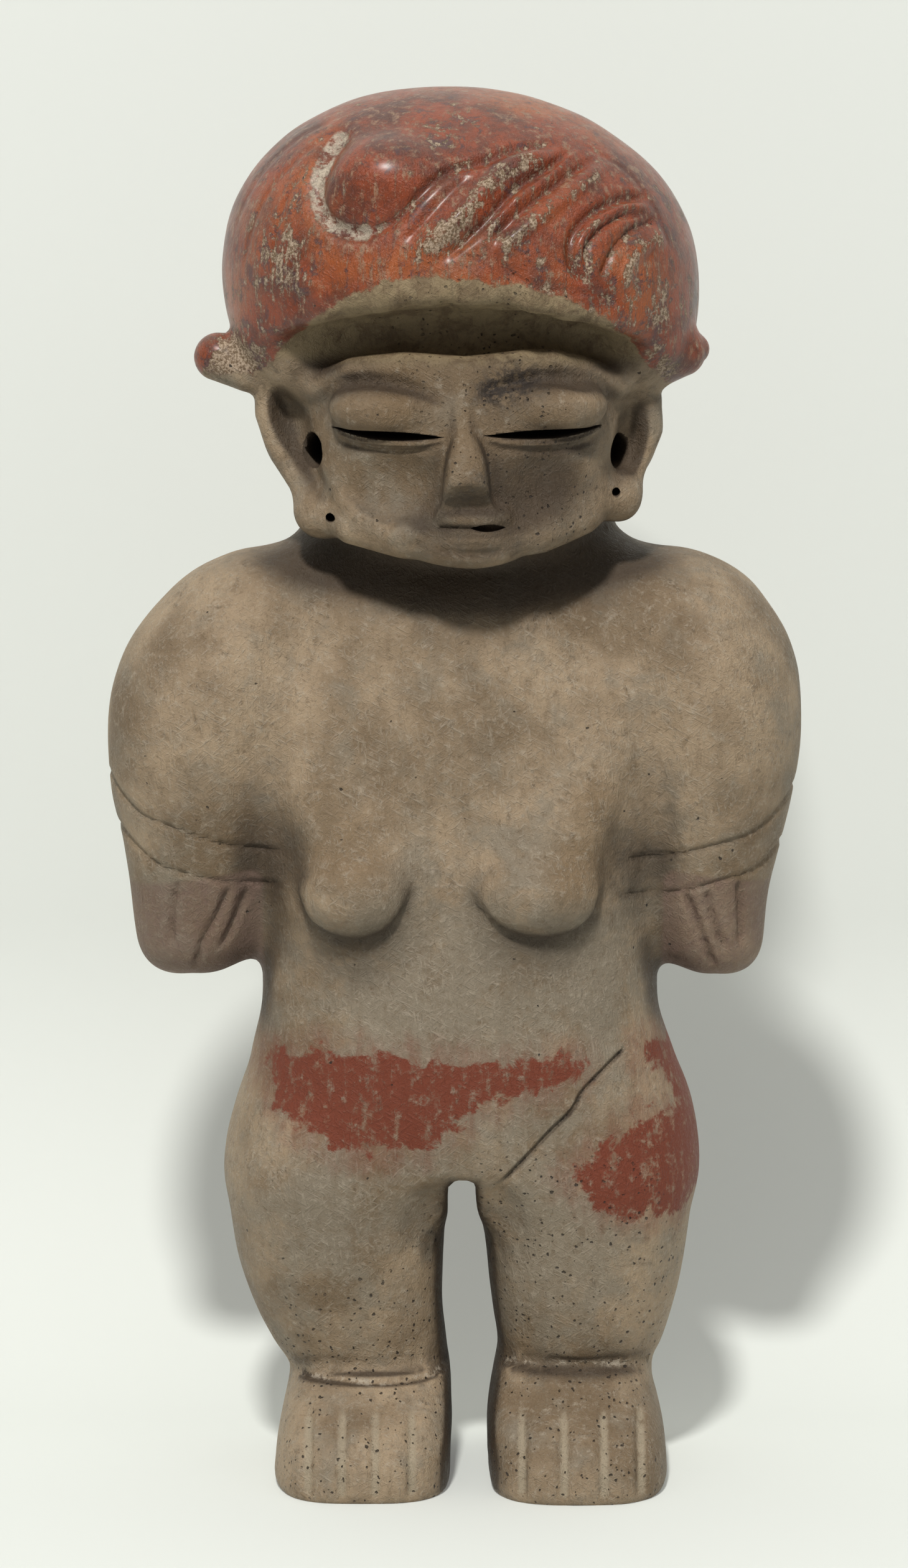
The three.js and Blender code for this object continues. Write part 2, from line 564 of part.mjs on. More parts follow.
// The skin of the form over a grid: a point in each cell that the surface crosses, pulled onto the surface,
// and two triangles across each grid edge that it crosses. A cell crossed by two sheets has two points.
function skinOf(form, low, high) {
  const count = high.map((top, axis) => Math.ceil((top - low[axis]) / gridStep) + 1);
  const [nx, ny, nz] = count;
  const at = (axis, i) => low[axis] + i * gridStep;
  const index = (i, j, k) => (k * ny + j) * nx + i;
  // Whole blocks of the grid that are far from the surface take the distance at their middle.
  const value = new Float32Array(nx * ny * nz);
  const block = 6;
  const far = 1.5 * block * gridStep;
  const least = 0.1 * gridStep;
  for (let k0 = 0; k0 < nz; k0 += block) {
    for (let j0 = 0; j0 < ny; j0 += block) {
      for (let i0 = 0; i0 < nx; i0 += block) {
        const whole = form(...[i0, j0, k0].map((n, axis) => at(axis, n + (block - 1) / 2)));
        for (let k = k0; k < Math.min(k0 + block, nz); k += 1) {
          for (let j = j0; j < Math.min(j0 + block, ny); j += 1) {
            for (let i = i0; i < Math.min(i0 + block, nx); i += 1) {
              const d = Math.abs(whole) > far ? whole : form(at(0, i), at(1, j), at(2, k));
              value[index(i, j, k)] = d > 0 ? Math.max(d, least) : Math.min(d, -least);
            }
          }
        }
      }
    }
  }
  const corners = [0, 1, 2, 3, 4, 5, 6, 7].map((c) => [c & 1, (c >> 1) & 1, (c >> 2) & 1]);
  const edges = [];
  const edgeOf = new Map();
  corners.forEach((_, p) =>
    [1, 2, 4].forEach((bit) => {
      if (p & bit) return;
      edgeOf.set(p * 8 + p + bit, edges.length);
      edges.push([p, p + bit]);
    })
  );
  const sides = [1, 2, 4].flatMap((bit) => [0, bit].map((side) => (c) => (c & bit) === side));
  const sideEdges = sides.map((on) => [...edges.keys()].filter((e) => edges[e].every(on)));

  // The crossed edges of a cell, sorted into the separate sheets of surface that pass through it.
  const sheetsOf = (inside) => {
    const sheet = edges.map(([p, q], e) => (inside[p] !== inside[q] ? e : -1));
    const tie = (e, f) => {
      const [from, to] = [sheet[e], sheet[f]];
      sheet.forEach((v, i) => {
        if (v === from) sheet[i] = to;
      });
    };
    for (const found of sideEdges) {
      const crossed = found.filter((e) => sheet[e] >= 0);
      if (crossed.length === 2) tie(...crossed);
      if (crossed.length < 4) continue;
      for (let c = 0; c < 8; c += 1) {
        const near = crossed.filter((e) => edges[e].includes(c));
        if (inside[c] && near.length === 2) tie(...near);
      }
    }
    return sheet;
  };

  const cells = new Map();
  const vertices = [];
  for (let k = 0; k < nz - 1; k += 1) {
    for (let j = 0; j < ny - 1; j += 1) {
      for (let i = 0; i < nx - 1; i += 1) {
        const d = corners.map(([a, b, c]) => value[index(i + a, j + b, k + c)]);
        if (d.every((v) => v > 0) || d.every((v) => v < 0)) continue;
        const sheet = sheetsOf(d.map((v) => v < 0));
        const vertexOf = sheet.map(() => -1);
        for (const name of new Set(sheet.filter((v) => v >= 0))) {
          const crossed = sheet.flatMap((v, e) => (v === name ? [e] : []));
          const sum = [0, 0, 0];
          for (const e of crossed) {
            const [p, q] = edges[e];
            const t = d[p] / (d[p] - d[q]);
            for (let axis = 0; axis < 3; axis += 1) {
              sum[axis] += corners[p][axis] + t * (corners[q][axis] - corners[p][axis]);
            }
            vertexOf[e] = vertices.length;
          }
          vertices.push([i, j, k].map((n, axis) => at(axis, n + sum[axis] / crossed.length)));
        }
        cells.set(index(i, j, k), vertexOf);
      }
    }
  }
  for (const point of vertices) pullOnto(form, point);
  const triangles = [];
  const quad = (a, b, c, d, inside) => {
    if (inside) triangles.push([a, b, c], [a, c, d]);
    else triangles.push([c, b, a], [d, c, a]);
  };
  for (let k = 1; k < nz - 1; k += 1) {
    for (let j = 1; j < ny - 1; j += 1) {
      for (let i = 1; i < nx - 1; i += 1) {
        const here = value[index(i, j, k)] < 0;
        const c = (a, b, e, bit) => {
          const corner = a + 2 * b + 4 * e;
          return cells.get(index(i - a, j - b, k - e))[edgeOf.get(corner * 8 + corner + bit)];
        };
        if (here !== value[index(i + 1, j, k)] < 0) {
          quad(c(0, 1, 1, 1), c(0, 0, 1, 1), c(0, 0, 0, 1), c(0, 1, 0, 1), here);
        }
        if (here !== value[index(i, j + 1, k)] < 0) {
          quad(c(1, 0, 1, 2), c(1, 0, 0, 2), c(0, 0, 0, 2), c(0, 0, 1, 2), here);
        }
        if (here !== value[index(i, j, k + 1)] < 0) {
          quad(c(1, 1, 0, 4), c(0, 1, 0, 4), c(0, 0, 0, 4), c(1, 0, 0, 4), here);
        }
      }
    }
  }
  return { vertices, triangles };
}

// Two short steps down the slope of the distance bring a nearby point onto the surface.
function pullOnto(form, point) {
  const reach = 0.2;
  for (let step = 0; step < 2; step += 1) {
    const d = form(...point);
    const slope = point.map((_, axis) => {
      const ahead = [...point];
      const behind = [...point];
      ahead[axis] += reach;
      behind[axis] -= reach;
      return (form(...ahead) - form(...behind)) / (2 * reach);
    });
    const steepness = slope.reduce((sum, v) => sum + v * v, 0);
    const move = Math.min(Math.max(d / Math.max(steepness, 0.25), -0.5 * gridStep), 0.5 * gridStep);
    slope.forEach((v, axis) => {
      point[axis] -= v * move;
    });
  }
}

// Thins a closed mesh to about the wanted number of triangles, by closing up the edges that matter least:
// the error of each point is the sum of its squared distances from the planes that it stands for.
function thinned({ vertices, triangles }, wanted) {
  const position = vertices.map((v) => [...v]);
  const around = position.map(() => new Set());
  const face = triangles.map((t) => [...t]);
  face.forEach((t, f) => t.forEach((v) => around[v].add(f)));
  const sub = (a, b) => [a[0] - b[0], a[1] - b[1], a[2] - b[2]];
  const cross = (a, b) => [a[1] * b[2] - a[2] * b[1], a[2] * b[0] - a[0] * b[2], a[0] * b[1] - a[1] * b[0]];
  const dot = (a, b) => a[0] * b[0] + a[1] * b[1] + a[2] * b[2];
  const normalOf = (a, b, c) => cross(sub(b, a), sub(c, a));
  const error = position.map(() => new Float64Array(10));
  for (const [a, b, c] of face) {
    const n = normalOf(position[a], position[b], position[c]);
    const size = Math.hypot(...n) || 1e-9;
    const p = [n[0] / size, n[1] / size, n[2] / size];
    p.push(-dot(p, position[a]));
    let slot = 0;
    for (let r = 0; r < 4; r += 1) {
      for (let s = r; s < 4; s += 1) {
        for (const v of [a, b, c]) error[v][slot] += p[r] * p[s] * size;
        slot += 1;
      }
    }
  }
  const errorAt = (q, [x, y, z]) =>
    q[0] * x * x + 2 * q[1] * x * y + 2 * q[2] * x * z + 2 * q[3] * x + q[4] * y * y +
    2 * q[5] * y * z + 2 * q[6] * y + q[7] * z * z + 2 * q[8] * z + q[9];
  const bestPoint = (q, a, b) => {
    const m = new THREE.Matrix3().set(q[0], q[1], q[2], q[1], q[4], q[5], q[2], q[5], q[7]);
    const middle = [0, 1, 2].map((i) => (a[i] + b[i]) / 2);
    const length = Math.hypot(...sub(a, b));
    const trace = q[0] + q[4] + q[7];
    if (Math.abs(m.determinant()) > 1e-4 * trace ** 3) {
      const p = new THREE.Vector3(-q[3], -q[6], -q[8]).applyMatrix3(m.invert()).toArray();
      if (Math.hypot(...sub(p, middle)) < length) return p;
    }
    return [middle, a, b].reduce((best, p) => (errorAt(q, p) < errorAt(q, best) ? p : best));
  };
  const version = new Uint32Array(position.length);
  const heap = [];
  const lower = (a, b) => heap[a].cost < heap[b].cost;
  const swap = (a, b) => {
    [heap[a], heap[b]] = [heap[b], heap[a]];
  };
  const add = (item) => {
    heap.push(item);
    let i = heap.length - 1;
    while (i > 0 && lower(i, (i - 1) >> 1)) {
      swap(i, (i - 1) >> 1);
      i = (i - 1) >> 1;
    }
  };
  const take = () => {
    const top = heap[0];
    const end = heap.pop();
    if (heap.length) {
      heap[0] = end;
      let i = 0;
      for (;;) {
        let least = i;
        for (const child of [2 * i + 1, 2 * i + 2]) if (child < heap.length && lower(child, least)) least = child;
        if (least === i) break;
        swap(i, least);
        i = least;
      }
    }
    return top;
  };
  const propose = (a, b) => {
    const q = error[a].map((v, i) => v + error[b][i]);
    const point = bestPoint(q, position[a], position[b]);
    const length = Math.hypot(...sub(position[a], position[b]));
    add({ cost: Math.max(errorAt(q, point), 0) + 1e-4 * length ** 4, a, b, point, q, stamp: version[a] + version[b] });
  };
  const neighbours = (v) => {
    const found = new Set();
    for (const f of around[v]) for (const w of face[f]) if (w !== v) found.add(w);
    return found;
  };
  const turnsOver = (v, other, point) => {
    for (const f of around[v]) {
      if (face[f].includes(other)) continue;
      const before = face[f].map((w) => position[w]);
      const after = face[f].map((w) => (w === v ? point : position[w]));
      const n = normalOf(...before);
      const m = normalOf(...after);
      const sides = [0, 1, 2].map((i) => sub(after[i], after[(i + 1) % 3]));
      const edgesSquared = sides.reduce((sum, side) => sum + dot(side, side), 0);
      if (dot(n, m) < 0.4 * Math.hypot(...n) * Math.hypot(...m)) return true;
      if (Math.hypot(...m) < 0.04 * edgesSquared) return true;
    }
    return false;
  };
  position.forEach((_, v) => {
    for (const w of neighbours(v)) if (w > v) propose(v, w);
  });
  let left = face.length;
  while (left > wanted && heap.length) {
    const { a, b, point, q, stamp } = take();
    if (!around[a] || !around[b] || stamp !== version[a] + version[b]) continue;
    const nearB = neighbours(b);
    const shared = [...neighbours(a)].filter((v) => nearB.has(v));
    if (shared.length !== 2 || turnsOver(a, b, point) || turnsOver(b, a, point)) continue;
    position[a] = point;
    error[a] = q;
    for (const f of around[b]) {
      if (face[f].includes(a)) {
        for (const w of face[f]) if (w !== b) around[w].delete(f);
        face[f] = null;
        left -= 1;
      } else {
        face[f][face[f].indexOf(b)] = a;
        around[a].add(f);
      }
    }
    around[b] = null;
    version[a] += 1;
    version[b] += 1;
    for (const w of neighbours(a)) propose(Math.min(a, w), Math.max(a, w));
  }
  return { vertices: position, triangles: face.filter(Boolean) };
}

function geometryOf({ vertices, triangles }) {
  const geometry = new THREE.BufferGeometry();
  geometry.setAttribute("position", new THREE.Float32BufferAttribute(vertices.flat(), 3));
  geometry.setIndex(triangles.flat());
  return mergeVertices(geometry, 1e-4);
}

// Booleans work on closed solids made from a geometry's positions alone.
const wasm = await Module();
wasm.setup();
function solidOf(geometry) {
  const bare = geometry.clone();
  bare.deleteAttribute("normal");
  bare.deleteAttribute("uv");
  const merged = mergeVertices(bare, 1e-4);
  return new wasm.Manifold(
    new wasm.Mesh({
      numProp: 3,
      vertProperties: merged.attributes.position.array,
      triVerts: new Uint32Array(merged.index.array),
    })
  );
}

// A round hole from one point on the surface towards a point inside.
function pierced(from, towards, radius, depth, widthShare = 1) {
  const start = new THREE.Vector3(...from.map(share));
  const way = new THREE.Vector3(...towards.map(share)).sub(start).normalize();
  const outside = 6;
  const length = depth + outside;
  const middle = start.clone().addScaledVector(way, length / 2 - outside);
  return new THREE.CylinderGeometry(radius, radius, length, 14)
    .scale(widthShare, 1, 1)
    .applyQuaternion(new THREE.Quaternion().setFromUnitVectors(new THREE.Vector3(0, 1, 0), way))
    .translate(...middle.toArray());
}

// A long narrow slit, pointed at its two ends and cut straight back into the face.
function slit({ from, to, sag, front, height, depth }) {
  const [a, b] = [from, to].map(([x, z]) => new THREE.Vector2(share(x), share(z)));
  const middle = a.clone().add(b).multiplyScalar(0.5);
  const shape = new THREE.Shape().moveTo(a.x, a.y);
  shape.quadraticCurveTo(middle.x, middle.y - share(sag) - height, b.x, b.y);
  shape.quadraticCurveTo(middle.x, middle.y - share(sag) + height, a.x, a.y);
  const outside = 8;
  return new THREE.ExtrudeGeometry(shape, { depth: depth + outside, bevelEnabled: false, curveSegments: 7 })
    .rotateX(Math.PI / 2)
    .translate(0, share(front) + depth, 0);
}

const openings = [
  pierced([-31, -14, 225.2], [-28, 0, 225.2], earHoleRadius, earHoleDepth, earHoleWidthShare),
  pierced([32.8, -14, 224.8], [30, 0, 224.8], earHoleRadius, earHoleDepth, earHoleWidthShare),
  pierced([-27.8, -21.5, 211.8], [-27.8, 0, 212], lobeHoleRadius, lobeHoleDepth),
  pierced([32.2, -20, 216.8], [32.2, 0, 217], lobeHoleRadius, lobeHoleDepth),
  slit({ from: [-26.5, 231], to: [-4, 229.9], sag: 0.4, front: -36, height: eyeSlitHeight, depth: eyeSlitDepth }),
  slit({ from: [4.4, 230.2], to: [29.5, 231.4], sag: 0.4, front: -36, height: eyeSlitHeight, depth: eyeSlitDepth }),
  slit({ from: [1.4, 211.1], to: [8.9, 211.1], sag: 0, front: -38, height: mouthSlitHeight, depth: mouthSlitDepth }),
];

const ground = new THREE.BoxGeometry(figureHeight, figureHeight, figureHeight).translate(0, 0, -figureHeight / 2);

const low = [share(-80), share(-48), -soleTrim].map((v) => v - gridMargin);
const high = [share(78), share(50), share(300)].map((v) => v + gridMargin);
const skin = thinned(skinOf(figure, low, high), keptTriangles);
let solid = solidOf(geometryOf(skin));
for (const cutter of [...openings, ground]) solid = solid.subtract(solidOf(cutter));

const made = solid.getMesh();
const shaped = new THREE.BufferGeometry();
shaped.setAttribute("position", new THREE.Float32BufferAttribute(made.vertProperties, made.numProp));
shaped.setIndex(new THREE.BufferAttribute(made.triVerts, 1));
shaped.computeBoundingBox();
const middle = shaped.boundingBox.getCenter(new THREE.Vector3());
shaped.translate(-middle.x, -middle.y, 0);
shaped.computeVertexNormals();

const clay = new THREE.MeshStandardMaterial({ color: clayColour, roughness: 0.72, metalness: 0 });
const pottery = new THREE.Mesh(shaped, clay);
pottery.name = "pottery_figure";

const group = new THREE.Group();
group.add(pottery);
export default group;
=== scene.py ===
import math
import time
from collections import namedtuple
from contextlib import contextmanager

import bmesh
import bpy
import numpy as np
from mathutils import Matrix, Vector, noise


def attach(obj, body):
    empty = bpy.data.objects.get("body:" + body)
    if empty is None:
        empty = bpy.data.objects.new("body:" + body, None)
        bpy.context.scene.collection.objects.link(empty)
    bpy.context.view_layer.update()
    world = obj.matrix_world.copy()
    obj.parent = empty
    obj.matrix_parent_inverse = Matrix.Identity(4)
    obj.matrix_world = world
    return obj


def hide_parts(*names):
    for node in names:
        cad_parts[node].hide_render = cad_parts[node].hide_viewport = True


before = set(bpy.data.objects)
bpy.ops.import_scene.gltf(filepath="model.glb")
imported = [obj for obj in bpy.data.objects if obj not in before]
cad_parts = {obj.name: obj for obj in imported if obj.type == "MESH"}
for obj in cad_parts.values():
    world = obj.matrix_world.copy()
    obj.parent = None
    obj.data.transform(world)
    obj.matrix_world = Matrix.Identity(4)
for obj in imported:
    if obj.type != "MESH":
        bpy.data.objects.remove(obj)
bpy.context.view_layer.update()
started = time.time()


def tell(stage):
    print(f"[figure] {stage} ({time.time() - started:.0f} s)")


# camera: aimed at the middle of the figure from 10 degrees above, looking along +Y
view = {
    "target": (-0.0001, -0.001, 0.1508),
    "distance": 1.2,
    "elevation": 10,
    "lens": 127.54,
}

camera = bpy.data.objects.new("portraitCamera", bpy.data.cameras.new("portraitCamera"))
bpy.context.scene.collection.objects.link(camera)
tilt = math.radians(view["elevation"])
camera.location = Vector(view["target"]) + view["distance"] * Vector((0, -math.cos(tilt), math.sin(tilt)))
camera.rotation_euler = (math.pi / 2 - tilt, 0, 0)
camera.data.lens = view["lens"]
camera.data.sensor_width = 36
bpy.context.scene.camera = camera
tell("camera placed")


# the sculpt: lumps, columns and rolls of clay as in the solid, in drawn millimetres
# A few of them are set anew here, by up to about 1.6 mm.
# Each form gives the distance from its surface, below 0 inside, for an array of points.
def joined(a, b, soft):
    overlap = np.maximum(soft - np.abs(a - b), 0)
    return np.minimum(a, b) - overlap**2 / (4 * soft)


def cutAway(a, b, soft):
    return -joined(-a, b, soft)


def rise(low, high, value):
    t = np.clip((value - low) / (high - low), 0, 1)
    return t * t * (3 - 2 * t)


def lump(at, radii, turn=(0, 0, 0), power=2):
    axes = np.eye(3)
    for angle, axis in zip(turn, "XYZ"):
        axes = axes @ np.array(Matrix.Rotation(math.radians(angle), 3, axis))
    radii = np.array(radii, float)

    def distance(p):
        q = np.abs((p - at) @ axes) / radii
        k = np.maximum((q**power).sum(1) ** (1 / power), 1e-6)
        steep = np.sqrt((((q / k[:, None]) ** (power - 1) / radii) ** 2).sum(1))
        return (k - 1) / steep

    return distance


def smoothRows(rows, heights):
    # values between rows by a smooth curve; the first column is the height
    rows = np.array(rows, float)
    slopes = np.gradient(rows, axis=0)
    slopes[1:-1] = rows[2:] - rows[:-2]
    slopes[0], slopes[-1] = rows[1] - rows[0], rows[-1] - rows[-2]
    slopes = slopes / slopes[:, :1]
    i = np.clip(np.searchsorted(rows[:, 0], heights) - 1, 0, len(rows) - 2)
    span = (rows[i + 1, 0] - rows[i, 0])[:, None]
    t = (heights[:, None] - rows[i, :1]) / span
    t2, t3 = t * t, t * t * t
    return (
        (2 * t3 - 3 * t2 + 1) * rows[i]
        + (t3 - 2 * t2 + t) * slopes[i] * span
        + (3 * t2 - 2 * t3) * rows[i + 1]
        + (t3 - t2) * slopes[i + 1] * span
    )


def column(sections, power, cap):
    # rounded sections stacked up: height, left, right, front, back
    low, high = sections[0][0], sections[-1][0]
    heights = np.linspace(low, high, 241)
    _, left, right, front, back = smoothRows(sections, heights).T

    def distance(p):
        z = np.clip(p[:, 2], low, high)
        wide = np.interp(z, heights, (right - left) / 2)
        deep = np.interp(z, heights, (back - front) / 2)
        u = np.abs(p[:, 0] - np.interp(z, heights, (left + right) / 2)) / wide
        v = np.abs(p[:, 1] - np.interp(z, heights, (front + back) / 2)) / deep
        k = np.maximum((u**power + v**power) ** (1 / power), 1e-6)
        side = (k - 1) / np.hypot((u / k) ** (power - 1) / wide, (v / k) ** (power - 1) / deep)
        beyond = np.maximum(low - p[:, 2], p[:, 2] - high)
        return -joined(-side, -beyond, cap)

    return distance


def roll(points):
    # a roll of clay through x, y, z, radius
    points = np.array(points, float)

    def distance(p):
        nearest = np.full(len(p), 1e9)
        for a, b in zip(points[:-1], points[1:]):
            run = b[:3] - a[:3]
            t = np.clip(((p - a[:3]) @ run) / (run @ run), 0, 1)
            off = p - a[:3] - t[:, None] * run
            nearest = np.minimum(nearest, np.sqrt((off**2).sum(1)) - a[3] - (b[3] - a[3]) * t)
        return nearest

    return distance


def smoothPath(points, pieces=6):
    # a smooth line through the points, as more points
    points = np.array(points, float)
    padded = np.vstack([2 * points[0] - points[1], points, 2 * points[-1] - points[-2]])
    t = np.linspace(0, 1, pieces, endpoint=False)[:, None]
    made = []
    for a, b, c, d in zip(padded[:-3], padded[1:-2], padded[2:-1], padded[3:]):
        made.append(b + 0.5 * t * (c - a + t * (2 * a - 5 * b + 4 * c - d + t * (3 * (b - c) + d - a))))
    return np.vstack(made + [points[-1:]])


def nearLine(across, up, path):
    # how far each place is from a smooth line, and how far along it
    line = smoothPath(path)
    nearest, along = np.full(len(across), 1e9), np.zeros(len(across))
    for i, (a, b) in enumerate(zip(line[:-1], line[1:])):
        run = b - a
        t = np.clip(((across - a[0]) * run[0] + (up - a[1]) * run[1]) / (run @ run), 0, 1)
        off = np.hypot(across - a[0] - t * run[0], up - a[1] - t * run[1])
        closer = off < nearest
        nearest[closer] = off[closer]
        along[closer] = (i + t[closer]) / (len(line) - 1)
    return nearest, along


def groove(p, path, width, depth, fade):
    # a tool's mark seen from the front; fade is the share of its length over which each end runs out
    off, along = nearLine(p[:, 0], p[:, 2], path)
    ends = np.clip(np.minimum(along, 1 - along) / fade, 0, 1)
    profile = 0.5 * (1 + np.cos(2 * np.pi * np.minimum(off, width / 2) / width))
    return depth * ends * profile


bodyForms = {
    "trunk": dict(power=2.3, cap=14, sections=[
        [56, -48, 47, -22, 24], [68, -50.7, 50.4, -25.5, 28], [80, -49.4, 50, -27.5, 29.5],
        [92, -46, 46, -28, 28], [102, -43.8, 42.6, -27.5, 25], [112, -43, 41.5, -27, 23.5],
        [124, -43.5, 42, -26, 23], [145, -46, 45, -25, 25], [168, -50, 48, -24, 27],
        [186, -46, 46, -20.5, 25], [201, -38, 37, -15, 22]]),
    "neck": dict(power=2.1, cap=6, sections=[
        [150, -26, 24, -4, 12], [176, -37, 36, -14, 21], [190, -37.5, 36, -16.5, 24],
        [200, -35, 33.4, -14, 24], [208, -34, 32, -13, 25], [224, -35, 33, -15, 26]]),
    "arms": [
        dict(power=2.15, cap=9, sections=[
            [109.8, -69.4, -48, -10.5, 5.5], [117.5, -70.4, -44, -13, 8.5], [128.5, -71.8, -39.5, -16, 13],
            [139.5, -73.4, -37, -18.5, 17], [150.5, -75.9, -34.5, -21, 21],
            [161.4, -76.5, -32, -22.8, 24.5],
            [172.3, -75.3, -29, -23.2, 26.5], [183, -71, -27, -21.5, 26], [193, -62.6, -24, -17.5, 23.5],
            [201.5, -53, -24, -12, 18]]),
        dict(power=2.15, cap=9, sections=[
            [109.4, 45.6, 64.4, -10.5, 5.5], [117.5, 42, 65, -13, 8.5], [128.5, 38, 66.4, -16, 13],
            [139.5, 36, 68.8, -18.5, 17], [150.5, 33.5, 71.4, -21, 21], [161.4, 31, 72.9, -22.8, 24.5],
            [172.3, 28.5, 72.6, -23.2, 26.5], [183, 26.5, 70, -21.5, 26], [193, 24, 63.4, -17.5, 23.5],
            [201.5, 24, 54.6, -12, 18]])],
    "breasts": [
        [[-31.5, -12.4, 168, 6], [-29, -15.4, 150, 8.6], [-23.6, -18, 134, 11.8]],
        [[29.5, -12.4, 168, 6], [25.4, -15.4, 150, 9], [17, -17.6, 134.6, 12.2]]],
    "breastTips": [
        dict(at=(-22.6, -23.9, 131.7), radii=(11.8, 9.6, 9.6)),
        dict(at=(15.6, -23.7, 131.7), radii=(13.8, 9.6, 9.6))],
    "armHollows": [  # where the arms leave the chest
        dict(at=(-40, -28.4, 141), radii=(5, 8, 20), turn=(0, -6, 0)),
        dict(at=(35.5, -28.4, 141), radii=(5, 8, 20), turn=(0, 8, 0))],
    "buttocks": [
        dict(at=(-23, 11.5, 75), radii=(23, 21, 22)),
        dict(at=(23, 11.5, 75), radii=(23, 21, 22))],
    "legs": [
        dict(power=2.5, cap=8, sections=[
            [12, -36.5, -2.4, -13, 17], [22, -37.9, -2.6, -14.5, 18], [28, -41.7, -2.8, -16.8, 19.5],
            [34, -44.8, -3.4, -19, 20.5], [45, -48.6, -3.4, -22, 22.5], [56, -50.4, -3, -24, 25],
            [68, -50.9, -2.6, -25.4, 27.5], [84, -45.5, -4, -22.5, 25]]),
        dict(power=2.5, cap=8, sections=[
            [12, 6.9, 40, -13, 17], [22, 6.9, 41.2, -14.5, 18], [28, 6.8, 44, -16.8, 19.5],
            [34, 5.9, 45.9, -19, 20.5], [45, 4.6, 48.3, -22, 22.5], [56, 3.4, 49.7, -24, 25],
            [68, 2.4, 50.6, -25.4, 27.5], [84, 4, 45.5, -22.5, 25]])],
    "feet": [
        dict(power=3.4, cap=4.5, sections=[
            [-1.6, -40.9, -2.2, -35, 20.5], [3, -40.9, -1.9, -35.4, 21], [9, -40, -1.5, -34.4, 20.5],
            [14, -38.9, -1.6, -30.5, 20], [19, -37.4, -1.8, -23, 19], [24.5, -35.5, -2.7, -17.4, 18]]),
        dict(power=3.4, cap=4.5, sections=[
            [-1.6, 5.2, 44.6, -36, 20.5], [3, 5, 44.7, -36.4, 21], [9, 4.5, 44.1, -35.4, 20.5],
            [14, 4.6, 43, -31.5, 20], [19, 5.4, 41.5, -24, 19], [25.5, 6.8, 40.7, -17.4, 18]])],
    "thighHollows": [
        dict(at=(-6.4, -29, 57.5), radii=(7, 9, 11.5), turn=(6, 0, 0)),
        dict(at=(7.4, -29, 57.5), radii=(6.6, 9, 11.5), turn=(6, 0, 0))],
    "legGap": dict(power=6, cap=2, sections=[
        [-20, -2.4, 5.2, -60, 60], [8, -1.6, 4.6, -60, 60], [22, -2.4, 6.6, -60, 60],
        [28, -3.2, 6.9, -60, 60], [36, -4, 5.8, -60, 60], [47, -3.8, 4.8, -60, 60],
        [61, -3.3, 3.2, -60, 60], [68.4, -2.8, 2.6, -60, 60]]),
}

